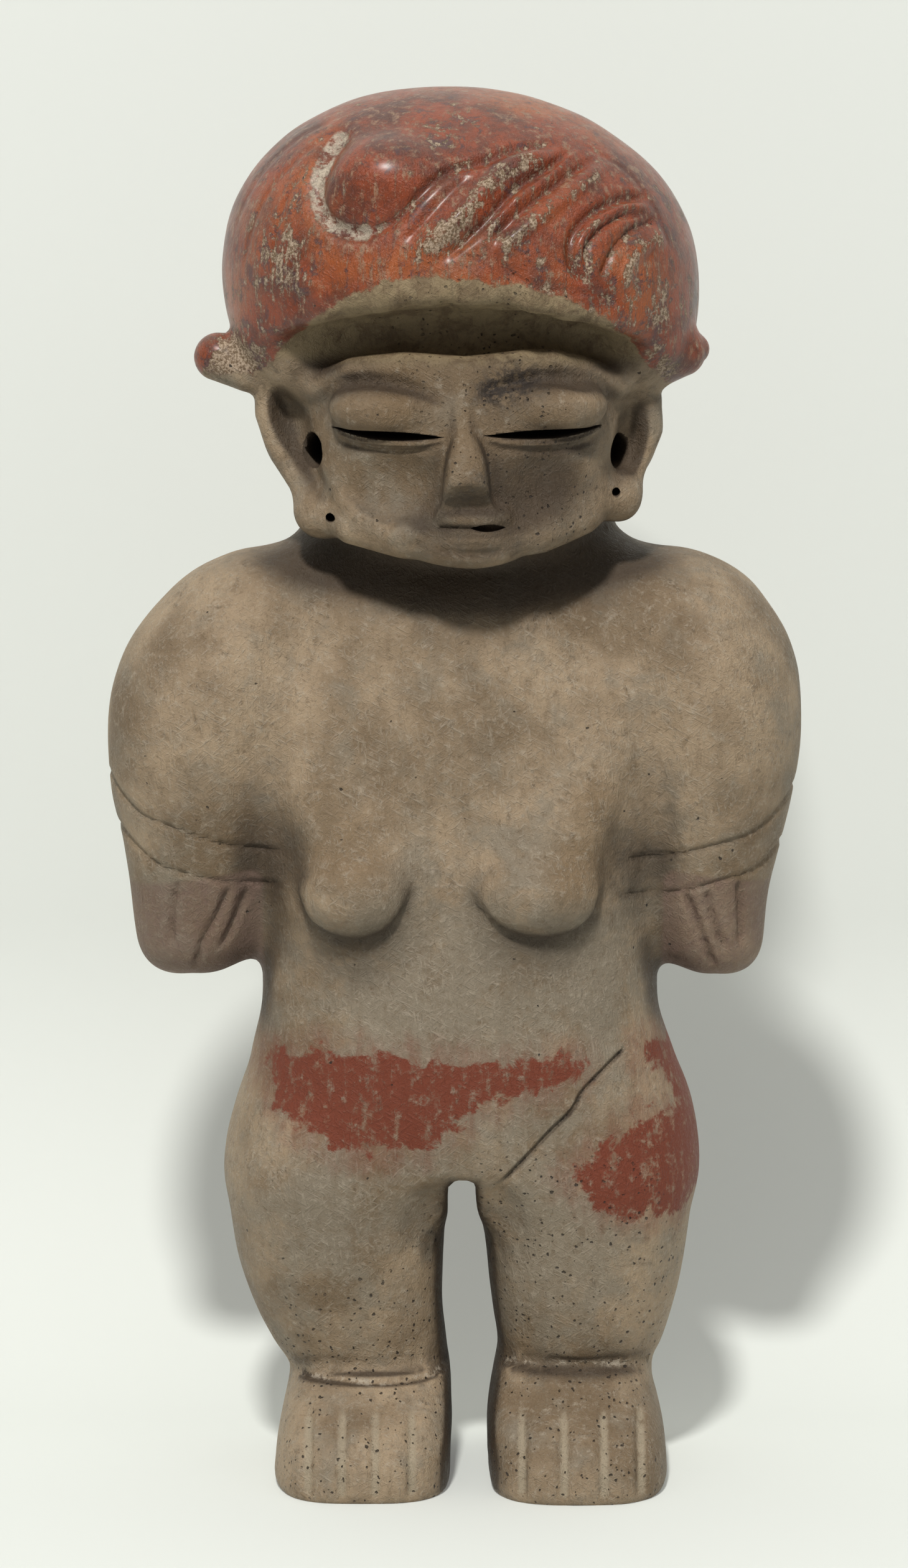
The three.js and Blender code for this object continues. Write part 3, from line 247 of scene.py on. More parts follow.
headForms = {
    "hairBase": dict(at=(0.3, 1, 257.6), radii=(50, 42, 40.6), power=2.12),
    "hairCrown": dict(at=(-6.4, 2, 266), radii=(42.6, 36, 32.2), power=2.15),
    "hairSwell": dict(at=(-15.5, -27, 282), radii=(11.5, 9.4, 9), turn=(-35, 0, 0)),
    "skull": dict(at=(-0.5, 3.5, 238), radii=(38.6, 31.5, 40), power=2.2),
    "mask": dict(at=(1, -12, 227.4), radii=(30.6, 22.8, 24.4), power=2.45),
    "browRidge": [[-30, -19, 239, 2.6], [-23, -25.8, 243, 2.6], [-12, -29, 244.2, 2.7],
                  [0.4, -30, 243.2, 2.4], [13, -29, 244.8, 2.7], [18, -27.8, 245, 2.7],
                  [25, -25, 243.2, 2.6], [32, -19, 239.6, 2.6]],
    "forehead": [[-29, -22, 244, 2.8], [-22, -25.4, 248.6, 3.6], [-10, -27.6, 250, 4.2],
                 [2, -28.2, 250, 4.2], [14, -27.6, 250.6, 4.2], [24, -25.4, 249, 3.6],
                 [31, -22, 244.6, 2.8]],
    "temples": [
        dict(at=(-36, -10.5, 246.5), radii=(9, 10.5, 10)),
        dict(at=(36.8, -10.5, 247), radii=(8.5, 10.5, 10))],
    "jaw": [[-29, -15, 213, 4], [-23, -24, 210.6, 4.4], [-12, -29, 208.6, 4.6], [2.4, -30, 207.6, 4.6],
            [16, -28.6, 209.4, 4.4], [25, -23, 212.4, 4], [30, -15, 216, 3.6]],
    "cheekHollows": [
        dict(at=(-16.4, -38.3, 219.8), radii=(11.6, 9.6, 9.2), turn=(0, 8, 12)),
        dict(at=(19, -40.4, 220.4), radii=(10.8, 9.8, 8.8), turn=(0, -12, -12))],
    "eyelids": [
        dict(at=(-15.2, -26.6, 235), radii=(12.8, 9.5, 6.2), turn=(0, 2, 14), power=2.1),
        dict(at=(17.2, -26.6, 235.6), radii=(13, 9.5, 6.3), turn=(0, -2, -14), power=2.1)],
    "earHollows": [
        dict(at=(-36.6, -16.6, 231.6), radii=(3, 5.6, 6.4), turn=(0, -22, 0)),
        dict(at=(35.4, -16.4, 226.2), radii=(3, 5.6, 6.4), turn=(0, 8, 0))],
    "nose": dict(power=3.4, cap=1.4, sections=[
        [212, -4.6, 6, -41.4, -24], [221, -4.1, 5.6, -41, -24], [226, -3.5, 4.9, -39.4, -24],
        [229.6, -2.7, 3.6, -37.2, -24], [232.6, -2.1, 2, -35.2, -24], [238, -1.8, 1.4, -33.6, -24],
        [244, -1.4, 1.3, -31.6, -24]]),
    "lips": [
        dict(at=(2.2, -33.4, 213), radii=(7.2, 4.2, 2.7)),
        dict(at=(2.2, -32.4, 208.4), radii=(6.6, 4.2, 2.2)),
        dict(at=(1.6, -30.8, 205), radii=(8.6, 4.2, 2.6))],
    "ears": [
        [[-37, -11.5, 241.6, 3.6], [-40.8, -11.3, 237.4, 3.2], [-41, -11, 232.4, 3], [-39.2, -11, 227, 3],
         [-36.8, -11.4, 222.4, 3.1], [-33.4, -13, 218, 3.5], [-31.4, -15, 213.6, 3.9]],
        [[37, -11, 240, 2.6], [39.2, -10.5, 235, 2.8], [39, -10, 229, 3.1], [36.6, -11, 223, 2.8],
         [34.4, -12.5, 217.4, 3.2]]],
    "earPlates": [
        dict(at=(-35.8, -6, 229.5), radii=(7.2, 6.8, 12.5), turn=(0, -10, 0)),
        dict(at=(35, -6, 228.4), radii=(6.8, 6.8, 12), turn=(0, 10, 0))],
    "lobes": [
        dict(at=(-29.8, -16.5, 211.4), radii=(5.4, 5.4, 5)),
        dict(at=(33, -15.5, 215.2), radii=(4.8, 5, 5.2))],
    "sideLocks": [
        [[-51.8, -9, 244.2, 5.1], [-45.4, -11, 241.6, 4.7], [-38, -8, 243, 4.4]],
        [[36, -8, 243.6, 4.6], [41, -11, 242.6, 4.4], [46, -10, 245.4, 5.4], [48.8, -9, 245.8, 3.4]]],
}

headCuts = {
    "brim": 257.4,  # mm, the lower edge of the hair at the front
    "brimMiddle": -2,  # mm, the x where that edge is highest
    "brimDroop": 0.0058,  # how fast it falls to both sides
    "brimBack": 30,  # mm, how much lower it lies at the back
    "noseTip": (-41, 220.8),  # y, z of the edge from which the underside of the nose slopes in
    "noseUnder": (0.68, 0.73),  # the direction of that slope
}


def formsOf(entry):
    # a table entry as ready forms: one, or a list of them
    if isinstance(entry, dict):
        return column(**entry) if "sections" in entry else lump(**entry)
    if isinstance(entry[0], dict):
        return [formsOf(one) for one in entry]
    return roll(entry) if not isinstance(entry[0][0], list) else [roll(one) for one in entry]


bodyParts = {name: formsOf(entry) for name, entry in bodyForms.items()}
headParts = {name: formsOf(entry) for name, entry in headForms.items()}


def addForms(d, p, forms, soft, low=-99, high=999, how=joined):
    # works each form into the clay, but only between two heights
    near = (p[:, 2] > low) & (p[:, 2] < high)
    if near.any():
        part, some = d[near], p[near]
        for form in forms if isinstance(forms, list) else [forms]:
            part = how(part, form(some), soft)
        d[near] = part
    return d


def bodyShape(p):
    parts = bodyParts
    d = parts["trunk"](p)
    addForms(d, p, parts["neck"], 9, low=130)
    addForms(d, p, parts["buttocks"], 8, 40, 110)
    addForms(d, p, parts["legs"], 5, -9, 105)
    addForms(d, p, parts["feet"], 2.2, -9, 40)
    addForms(d, p, parts["arms"], 8, 92, 226)
    addForms(d, p, parts["breasts"], 12, 100, 195)
    addForms(d, p, parts["armHollows"], 4, 112, 168, cutAway)
    addForms(d, p, parts["breastTips"], 2.2, 112, 150)
    addForms(d, p, parts["thighHollows"], 3, 40, 80, cutAway)
    return addForms(d, p, parts["legGap"], 3, -9, 80, cutAway)


def faceShape(p):
    parts = headParts
    d = joined(parts["skull"](p), parts["mask"](p), 7)
    addForms(d, p, parts["jaw"], 6, high=228)
    addForms(d, p, parts["cheekHollows"], 4, 200, 240, cutAway)
    return d


def headShape(p):
    parts = headParts
    dome = joined(parts["hairBase"](p), parts["hairCrown"](p), 8)
    brim = headCuts["brim"] - headCuts["brimDroop"] * (p[:, 0] - headCuts["brimMiddle"]) ** 2
    brim = brim - headCuts["brimBack"] * rise(-4, 34, p[:, 1])
    hair = -joined(-dome, p[:, 2] - brim, 4.5)
    hair = joined(hair, parts["hairSwell"](p), 5)
    d = joined(faceShape(p), hair, 10)
    addForms(d, p, parts["forehead"], 4, 236, 262, cutAway)
    addForms(d, p, parts["temples"], 8, 224, 270)
    addForms(d, p, parts["browRidge"], 3.2, 230, 255)
    addForms(d, p, parts["eyelids"], 2.2, 224, 246)
    (tipFront, tipHeight), (inward, down) = headCuts["noseTip"], headCuts["noseUnder"]
    underside = down * (tipHeight - p[:, 2]) - inward * (p[:, 1] - tipFront)
    d = joined(d, np.maximum(parts["nose"](p), underside), 1.6)
    addForms(d, p, parts["lips"], 3, 200, 222)
    addForms(d, p, parts["earPlates"] + parts["ears"], 2.5, high=250)
    addForms(d, p, parts["earHollows"], 2.4, 214, 244, cutAway)
    addForms(d, p, parts["lobes"], 3, high=228)
    return addForms(d, p, parts["sideLocks"], 2.5, 230, 260)


def figureShape(p):
    d = np.full(len(p), 1e9)
    low, high = p[:, 2] <= 226, p[:, 2] >= 180
    if low.any():
        d[low] = bodyShape(p[low])
    if high.any():
        head = headShape(p[high])
        d[high] = np.where(low[high], joined(d[high], head, 4), head)
    return d


def settle(p, rounds, stride=0.9):
    # walks points down the slope of the distance onto the surface; gives them and their outward directions
    step = 0.12
    for _ in range(rounds):
        d = figureShape(p)
        slope = np.stack([figureShape(p + step * way) - d for way in np.eye(3)], 1) / step
        steep = (slope**2).sum(1)
        p = p - slope * np.clip(d / np.maximum(steep, 0.25), -stride, stride)[:, None]
    return p, slope / np.sqrt(np.maximum(steep, 1e-9))[:, None]


# the carving: marks on the surface, drawn as x, z from the front
# Each mark has a width and a lift in mm; a lift below 0 is pressed in.
carving = {
    "hair": [
        (5.6, -1.9, [[-23.3, 292.3], [-26, 290], [-28, 287.2], [-29.8, 283.1], [-30.3, 279.6], [-29.1, 276],
                     [-26, 273.2], [-21.4, 272.2], [-16.7, 273.4]]),
        (3.2, -1.3, [[-24, 272.6], [-21.4, 272.2], [-16.7, 273.4], [-12.8, 275.9], [-8.9, 280], [-5, 283.5],
                     [-1.1, 285.3], [3.5, 286.4], [9, 288.2], [14.4, 289.1], [20.2, 289.6]]),
        (6.4, 1.7, [[-9.9, 267.5], [-4.2, 272.4], [1.2, 277.7], [5.1, 281.7], [8.2, 284.5], [12.1, 286.7],
                    [18.8, 288]]),
        (2.8, -0.6, [[-12, 270.6], [-7.6, 275.2], [-2.6, 280.6], [1.6, 284]]),
        (2.9, -1.7, [[-4.5, 266.9], [1.2, 271.6], [5.1, 275.4], [8.2, 278.7], [12.1, 282.3], [17.5, 285.2],
                     [22.4, 288.6]]),
        (1.8, 0.8, [[4.4, 269.6], [6.6, 274.4], [10.5, 278.7], [15.2, 281.8], [19.9, 285.1],
                    [24.6, 288.9]]),
        (2.6, -1.3, [[6, 271.2], [11.3, 276.2], [16, 279.6], [20.6, 282.8], [27.1, 286.8]]),
        (0.9, -0.4, [[19.9, 279.5], [26.9, 283.4]]),
        (4.4, 1.0, [[6.4, 268], [11.3, 272.2], [16.8, 276.2], [22.2, 279.9], [30.4, 285.9]]),
        (3.4, -1.5, [[39.5, 278], [33.9, 278.6], [29.2, 277.3], [25.3, 275], [22.6, 271.5], [22.2, 267.7],
                     [23.4, 264.3], [28, 261.2]]),
        (2.4, 0.7, [[38.6, 276.9], [33.6, 277], [29.6, 275.4], [26, 272.9], [23.9, 269.7], [24, 265.8]]),
        (2.2, -1.1, [[38.6, 275.2], [33.1, 275.2], [29.2, 273.2], [26.1, 270.5], [25.3, 267.5],
                     [26.1, 263.8]]),
        (2.9, -1.3, [[41, 274.2], [35.4, 272.4], [31.9, 269.5], [30, 266.3], [28.8, 262.6]]),
        (5.2, 0.9, [[42.4, 270.6], [37.4, 268.8], [34.2, 264.6], [33.4, 260.4]]),
        (1.7, -0.7, [[6.6, 268.8], [8.6, 265.7], [11.3, 263.7], [14.4, 261.6], [20.6, 260.7], [28.4, 259.5],
                     [34.5, 256.6]]),
        (1.3, -0.3, [[-21.4, 294.2], [-29.9, 290], [-36.9, 283.9], [-41.6, 277.6], [-44.3, 271.2],
                     [-45.9, 264.1]]),
        (1.2, -0.25, [[-26, 294.6], [-34.4, 290.2], [-41, 284.4], [-45.6, 277.4], [-48.2, 270.6]]),
        (1.4, -0.3, [[-31, 287.4], [-35.6, 280.4], [-38.6, 272.6], [-39.4, 262]]),
        (1.2, -0.25, [[24.6, 289.7], [33.9, 283.8], [40, 276], [43, 268]]),
        (1.1, -0.22, [[38, 272.4], [35.2, 266.4]]),
        (1.1, -0.22, [[40.4, 270.6], [38, 264]]),
        (1.1, -0.2, [[33.6, 270], [32.2, 264.8]]),
        (1.3, -0.25, [[-36.6, 264.5], [-29, 269.5], [-24, 270.4]]),
        (1.2, -0.3, [[-35.5, 256.5], [-30, 260.4], [-25.2, 262]])],
    "nape": [[[x, 290], [1.8 * x, 272], [2.1 * x, 254], [1.8 * x, 236]] for x in (-15, -9, -3, 3, 9, 15)],
    "face": [
        (3.2, -0.9, [[-26, 240.2], [-20, 241.2], [-14, 240.6], [-9, 239.4], [-4, 237.2]]),
        (3.2, -0.9, [[3, 238.4], [8, 240.4], [14, 241.6], [20, 241.6], [27, 240]]),
        (1.5, 0.5, [[-26.8, 230.2], [-22.5, 228.9], [-15.4, 228.3], [-8.4, 228.5], [-4, 229.4]]),
        (1.5, 0.5, [[4.6, 229.6], [9.4, 228.7], [16.5, 228.3], [23.6, 229], [29, 230.8]]),
        (1.8, -0.45, [[-26.4, 228.4], [-20, 226.9], [-13, 226.6], [-6, 227.2]]),
        (1.8, -0.35, [[6, 227.6], [13, 226.8], [20, 226.8], [27.6, 228.4]]),
        (0.9, -0.7, [[-5.6, 211.1], [-1, 211.2], [3, 211.1]]),
        (6.4, 0.8, [[-30, 224.6], [-26.6, 218.2], [-21.6, 212.6], [-15, 209.8], [-8, 211.2]]),
        (2.4, -0.4, [[-5, 206.4], [2, 205.6], [9, 206.4]])],
    "chest": [
        (2.6, -1.1, [[-36, 132], [-34.4, 128], [-32.4, 125], [-28.1, 122.3], [-22, 121.2], [-15.8, 123.8],
                     [-11.6, 129.6], [-10, 134]]),
        (2.6, -1.1, [[30.4, 133], [29.4, 129], [27.6, 125.6], [22.9, 122.6], [15.8, 121.6], [9.7, 123.2],
                     [4.6, 127.2], [0.4, 131.6]]),
        (1.6, -0.25, [[-34, 131.9], [-28.1, 127.4], [-22, 126.7], [-15.8, 129.4], [-12.4, 132.4]]),
        (1.6, -0.25, [[28.4, 131], [22.4, 127.8], [15.8, 127], [9.4, 128.8], [5, 131.6]])],
    "cuffs": [
        [[-78, 156.5], [-70, 147.8], [-62.6, 144.9], [-48.4, 140.4], [-38, 139.6]],
        [[-76, 145], [-66.9, 137], [-60.4, 134.6], [-48.6, 132.3], [-38, 132.2]],
        [[74, 155], [68.6, 148.6], [62.4, 143.4], [52.8, 140.6], [43.9, 138.4], [34, 138]],
        [[72, 142.6], [66.9, 138], [62.5, 134.8], [54.5, 132.6], [46.7, 130.4], [40, 129.6], [32, 130.8]]],
    "fingers": [
        [[-49.7, 131.5], [-51.9, 126.3], [-55.9, 118.7], [-57.5, 112]],
        [[-46, 131], [-48.6, 124], [-52, 117]],
        [[-61, 133], [-62.4, 125], [-62.6, 117]],
        [[47, 130.3], [49.3, 125.4], [52.5, 116.9], [54, 112]],
        [[52, 131], [53.6, 124], [56.6, 116]],
        [[59, 133], [59.6, 125], [60, 117]]],
    "toes": [-33.2, -25.9, -18.8, -10.9, 12.7, 21.8, 30.3, 38.4],
    "ankles": [
        [[-38, 22.6], [-30, 22.9], [-18, 22.4], [-6, 23.2], [-1, 24.4]],
        [[5, 24.4], [14, 25.8], [27, 25.9], [42, 25]]],
    "crack": [[35.3, 97.1], [31, 93.6], [25.7, 88.5], [23.5, 84.6], [18.6, 79.9], [13.6, 74.5],
              [7.5, 67.8]],
    "hairline": [[28.7, 113.9], [31.8, 106], [33.7, 99.1], [35.3, 97.1]],
}


def marked(p):
    # the lift of the carving at each place, and how much of it is hair groove, toe groove and open cut
    x, y, z = p.T
    lift, hairDepth, toeDepth, cutDepth = (np.zeros(len(p)) for _ in range(4))

    def work(zone, marks, fade=0.12, share=1.0):
        some, sunk, raised = p[zone], np.zeros(zone.sum()), np.zeros(zone.sum())
        for width, height, path in marks:
            mark = groove(some, path, width, abs(height), fade)
            if height < 0:
                sunk = np.maximum(sunk, mark)
            else:
                raised = np.maximum(raised, mark)
        lift[zone] += (raised - sunk) * (share[zone] if isinstance(share, np.ndarray) else share)
        return sunk

    crown = (z > 254) & (y < 0)
    hairDepth[crown] = work(crown, carving["hair"], 0.1, rise(0, -8, y)) * rise(0, -8, y[crown])
    work((z > 226) & (y > 2), [(5, -1.1, path) for path in carving["nape"]], 0.15, rise(4, 14, y))
    front = rise(-16, -22, y)
    work((z > 203) & (z < 246) & (y < -14), carving["face"], 0.1, front)
    work((z > 118) & (z < 137) & (np.abs(x) < 38) & (y < -10), carving["chest"], 0.1)
    ankles = [(1.6, -0.7, path) for path in carving["ankles"]]
    work((z > 20) & (z < 28) & (y < 0), ankles, 0.06, rise(0, -6, y))
    cuffZone = (z > 108) & (z < 162) & (np.abs(x) > 30)
    sunk = work(cuffZone, [(1.7, -0.7, path) for path in carving["cuffs"]], 0.05)
    cutDepth[cuffZone] = 0.7 * sunk
    fingerZone = cuffZone & (y < 3)
    sunk = work(fingerZone, [(2.3, -1.2, path) for path in carving["fingers"]], 0.12, rise(2, -4, y))
    cutDepth[fingerZone] += 0.25 * sunk
    toes = [(3.8, -1.1, [[across, 0.2], [across, 8], [across, 19.6]]) for across in carving["toes"]]
    toeZone = (z < 26) & (y < -10)
    toeDepth[toeZone] = work(toeZone, toes, 0.16, rise(-14, -22, y)) * rise(-14, -22, y[toeZone])
    hip = (z > 60) & (z < 118) & (x > 2) & (x < 40) & (y < -8)
    cracks = work(hip, [(1.5, -0.9, carving["crack"]), (1.0, -0.35, carving["hairline"])], 0.06)
    cutDepth[hip] += 1.3 * cracks
    return lift, hairDepth, toeDepth, cutDepth


# the piece: a copy of the solid, remeshed fine and settled onto the sculpt
figure = {
    "voxel": 0.00177,  # metres; halved in the fine zones and again in the finest
    "drawnMiddle": (-1.763, 1.028, 0),  # the drawn point that the frame's origin stands for
    "unevenness": 0.35,  # mm, the slow waver of hand building
    "rimUnevenness": 1.1,  # mm, the shorter waver of the hair's lower edge
    "holes": [  # from, towards, radius, depth, how much taller than wide
        ((-31, -14, 225.2), (-28, 0, 225.2), 2.92, 13, 1.34),
        ((32.8, -14, 224.8), (30, 0, 224.8), 2.92, 13, 1.34),
        ((-27.8, -21.5, 211.8), (-27.8, 0, 212), 1.05, 5, 1),
        ((32.2, -20, 216.8), (32.2, 0, 217), 0.9, 5, 1.1)],
    "slits": [  # from, to, sag, front, height, depth
        ((-27.4, 231), (-4, 229.9), 0.4, -36, 2.1, 12),
        ((4.4, 230.2), (30, 231.4), 0.4, -36, 2.1, 12),
        ((1.6, 211.1), (8.9, 211.1), 0, -38, 1.7, 4)],
}

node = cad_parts["pottery_figure"]
middle = np.array(figure["drawnMiddle"])


def toDrawn(mesh):
    flat = np.empty(len(mesh.vertices) * 3)
    mesh.vertices.foreach_get("co", flat)
    return flat.reshape(-1, 3) * 1000 + middle


def fromDrawn(mesh, p):
    mesh.vertices.foreach_set("co", ((p - middle) / 1000).ravel())
    mesh.update()


def linked(name, mesh):
    made = bpy.data.objects.new(name, mesh)
    bpy.context.scene.collection.objects.link(made)
    return made


def baked(obj):
    # the object's mesh with its modifiers applied
    shown = obj.evaluated_get(bpy.context.evaluated_depsgraph_get())
    old, obj.data = obj.data, bpy.data.meshes.new_from_object(shown)
    obj.modifiers.clear()
    bpy.data.meshes.remove(old)


@contextmanager
def editing(mesh):
    # the mesh as a bmesh, written back when the work on it is done
    bm = bmesh.new()
    bm.from_mesh(mesh)
    yield bm
    bm.to_mesh(mesh)
    bm.free()


mesh = node.data.copy()
piece = linked("figure", mesh)
with editing(mesh) as bm:
    bmesh.ops.remove_doubles(bm, verts=bm.verts, dist=1e-6)


def byOpening(p):
    # points of the solid that line an eye, a mouth or an ear opening
    near = np.zeros(len(p), bool)
    for start, towards, radius, depth, tall in figure["holes"]:
        way = np.array(towards, float) - start
        way /= np.linalg.norm(way)
        along = (p - start) @ way
        off = np.linalg.norm(p - start - along[:, None] * way, axis=1)
        near |= (off < radius * tall + 1.5) & (along > -5) & (along < depth + 3)
    for start, end, _, _, height, _ in figure["slits"]:
        line = np.interp(p[:, 0], [start[0], end[0]], [start[1], end[1]])
        between = (p[:, 0] > start[0] - 2) & (p[:, 0] < end[0] + 2)
        near |= between & (np.abs(p[:, 2] - line) < height / 2 + 2)
    return near & (p[:, 1] < 8)


# the openings are closed before the remesh and cut again, finer, at the end
p = toDrawn(mesh)
pit = (figureShape(p) < -0.3) & byOpening(p)
with editing(mesh) as bm:
    bm.verts.ensure_lookup_table()
    bmesh.ops.delete(bm, geom=[bm.verts[i] for i in np.flatnonzero(pit)], context="VERTS")
    for _ in range(4):
        bmesh.ops.holes_fill(bm, edges=[e for e in bm.edges if e.is_boundary], sides=0)
        torn = {v for e in bm.edges if not e.is_manifold for v in e.verts}
        if not torn:
            break
        bmesh.ops.delete(bm, geom=list(torn), context="VERTS")  # what didn't close is filled again
    bmesh.ops.triangulate(bm, faces=[f for f in bm.faces if len(f.verts) > 4])
tell(f"solid copied, {len(mesh.vertices)} points, {int(pit.sum())} in openings")

remesh = piece.modifiers.new("remesh", "REMESH")
remesh.mode = "VOXEL"
remesh.voxel_size = figure["voxel"]
baked(piece)
mesh = piece.data
p, _ = settle(toDrawn(mesh), 4, 1.4)
fromDrawn(mesh, p)
tell(f"remeshed, {len(mesh.vertices)} points")


def refine(mesh, wanted):
    # splits the faces whose middle is wanted in four
    with editing(mesh) as bm:
        spots = np.array([f.calc_center_median() for f in bm.faces]) * 1000 + middle
        chosen = wanted(spots)
        edges = {e for f, take in zip(bm.faces, chosen) if take for e in f.edges}
        bmesh.ops.subdivide_edges(bm, edges=list(edges), cuts=1, use_grid_fill=True)


def fineZone(p):
    x, y, z = p.T
    head = (z > 203) & (y < -2)
    hands = (z < 160) & (z > 108) & (np.abs(x) > 36) & (y < 6)
    toes = (z < 24) & (y < -12)
    hip = nearLine(x, z, carving["crack"])[0] < 4
    return head | hands | toes | (hip & (y < -8))


def finestZone(p):
    x, y, z = p.T
    eyes = (np.abs(z - 231) < 6) & (np.abs(x - 1.5) < 31)
    mouth = (np.abs(z - 211) < 6) & (np.abs(x - 2.5) < 11)
    nose = (z > 214) & (z < 232) & (np.abs(x - 0.5) < 7)
    ears = (np.hypot(x + 34.4, (z - 228.6) * 0.8) < 8.4) | (np.hypot(x - 34, (z - 225) * 0.9) < 7.6)
    lobes = (np.hypot(x + 27.8, z - 211.8) < 4.5) | (np.hypot(x - 32.2, z - 216.8) < 4.5)
    crack = (nearLine(x, z, carving["crack"])[0] < 1.8) & (z < 100)
    return (y < -6) & (eyes | mouth | nose | ears | lobes | crack)


for zone in (fineZone, finestZone):
    refine(mesh, zone)
    with editing(mesh) as bm:
        bmesh.ops.smooth_vert(bm, verts=bm.verts, factor=0.5,
                              use_axis_x=True, use_axis_y=True, use_axis_z=True)
p, outward = settle(toDrawn(mesh), 3)
tell(f"refined, {len(mesh.vertices)} points")

carved, _, _, _ = marked(p)
rimUneven = rise(247, 254, p[:, 2]) * rise(268, 260, p[:, 2]) * rise(-26, -36, p[:, 1])
carved += figure["rimUnevenness"] * rimUneven * np.array([noise.noise(Vector(q) / 5.5) for q in p])
waver = np.array([noise.noise(Vector(q) / 24) + 0.5 * noise.noise(Vector(q) / 9) for q in p])
onFace = rise(200, 212, p[:, 2]) * rise(-8, -14, p[:, 1]) * rise(262, 252, p[:, 2])
calm = 1 - 0.75 * onFace  # the face stays true
lift = figure["unevenness"] * calm * waver + carved
p = p + outward * lift[:, None]
p[:, 2] = np.maximum(p[:, 2], 0)
fromDrawn(mesh, p)
tell("carved")


def vertsOf(geom):
    return [v for v in geom if isinstance(v, bmesh.types.BMVert)]


# the openings, cut into the finished surface
def holeCutter(start, towards, radius, depth, tall):
    start = (np.array(start, float) - middle) / 1000
    way = Vector((np.array(towards) - middle) / 1000 - start).normalized()
    bm = bmesh.new()
    bmesh.ops.create_cone(bm, cap_ends=True, segments=32, radius1=radius / 1000,
                          radius2=0.9 * radius / 1000, depth=(depth + 6) / 1000)
    bmesh.ops.rotate(bm, verts=bm.verts, matrix=Vector((0, 0, 1)).rotation_difference(way).to_matrix())
    bmesh.ops.scale(bm, verts=bm.verts, vec=(1, 1, tall))
    bmesh.ops.translate(bm, verts=bm.verts, vec=Vector(start) + way * (depth - 6) / 2000)
    return bm


def slitCutter(start, end, sag, front, height, depth):
    # a round disc drawn out to two points, then pushed back into the face
    a, b = Vector(start) - Vector(middle[[0, 2]]), Vector(end) - Vector(middle[[0, 2]])
    bm = bmesh.new()
    bmesh.ops.create_circle(bm, cap_ends=True, segments=56, radius=1)
    for v in bm.verts:
        along, up = v.co.x, v.co.y
        bow = (1 - along * along) * (0.5 * height * (1 if up > 0 else -1) * (abs(up) > 1e-4) - sag)
        spot = a.lerp(b, 0.5 + 0.5 * along)
        v.co = Vector((spot.x, front - 8 - middle[1], spot.y + bow))
    made = bmesh.ops.extrude_face_region(bm, geom=bm.faces[:])["geom"]
    bmesh.ops.translate(bm, verts=vertsOf(made), vec=(0, depth + 8, 0))
    bmesh.ops.scale(bm, verts=bm.verts, vec=(0.001, 0.001, 0.001))
    bmesh.ops.recalc_face_normals(bm, faces=bm.faces)
    return bm


cutters = bmesh.new()
made = [holeCutter(*hole) for hole in figure["holes"]] + [slitCutter(*slit) for slit in figure["slits"]]
for one in made:
    part = bpy.data.meshes.new("part")
    one.to_mesh(part)
    one.free()
    cutters.from_mesh(part)
    bpy.data.meshes.remove(part)
cutterMesh = bpy.data.meshes.new("cutters")
bmesh.ops.recalc_face_normals(cutters, faces=cutters.faces)
cutters.to_mesh(cutterMesh)
cutters.free()
cutter = linked("cutters", cutterMesh)
opening = piece.modifiers.new("openings", "BOOLEAN")
opening.operation = "DIFFERENCE"
opening.object = cutter
opening.solver = "EXACT"
baked(piece)
bpy.data.objects.remove(cutter)
mesh = piece.data
tell(f"openings cut, {len(mesh.vertices)} points")


# what the surface is like at each place, kept as attributes in the mesh
p = toDrawn(mesh)
x, y, z = p.T
carved, hairDepth, toeDepth, cutDepth = marked(p)


def store(name, values):
    made = mesh.attributes.new(name, "FLOAT", "POINT")
    made.data.foreach_set("value", np.asarray(values, np.float32))


hairEdge = np.interp(x, [-50, -44, -36, -26.8, -16.6, -4.2, 11.3, 22, 29.2, 36, 42, 50],
                     [241, 241, 249, 257.5, 262.7, 263.3, 262.1, 259, 255, 248, 240, 238])
hairEdge = hairEdge - rise(-14, 20, y) * 22
store("slip", z - hairEdge)  # mm above the lower edge of the red hair
# raised ridges of the hair carving, where the slip shows worn pale: wear, and partly a painted highlight
# along the ridges
store("hairRidge", np.clip(carved / 0.9, 0, 1) * rise(250, 262, z))
store("hairGroove", np.clip(hairDepth / 1.6, 0, 1))
store("toeGroove", np.clip(toeDepth / 1.1, 0, 1))
store("cut", np.clip(cutDepth, 0, 1))
store("hand", rise(137, 131, z + 0.16 * (np.abs(x) - 50)) * rise(40, 46, np.abs(x)) * rise(100, 108, z))
# how deep inside the solid a place lies, which is down in the openings, for the painted shade there
store("inside", np.clip((-figureShape(p) - 2.6) / 2, 0, 1) * rise(4, 8, z))


def softSpots(places):
    # soft round patches: x, z, radius, strength, as seen from the front
    total = np.zeros(len(p))
    for across, up, radius, strength in places:
        total += strength * np.exp(-((x - across) ** 2 + (z - up) ** 2) / radius**2)
    return total * rise(12, 0, y)


def thickLine(path):
    # mm inside a band whose half-width changes along x, z, half-width points
    inside = np.full(len(p), -99.0)
    for a, b in zip(np.array(path[:-1], float), np.array(path[1:], float)):
        run = b[:2] - a[:2]
        t = np.clip(((x - a[0]) * run[0] + (z - a[1]) * run[1]) / (run @ run), 0, 1)
        off = np.hypot(x - a[0] - t * run[0], z - a[1] - t * run[1])
        inside = np.maximum(inside, a[2] + (b[2] - a[2]) * t - off)
    return inside


def closedIn(reach):
    # how much of the clay around stands within reach, from 0 in the open to 1 in a deep hollow
    return np.clip(1 - figureShape(p + facing * reach) / reach, 0, 1)


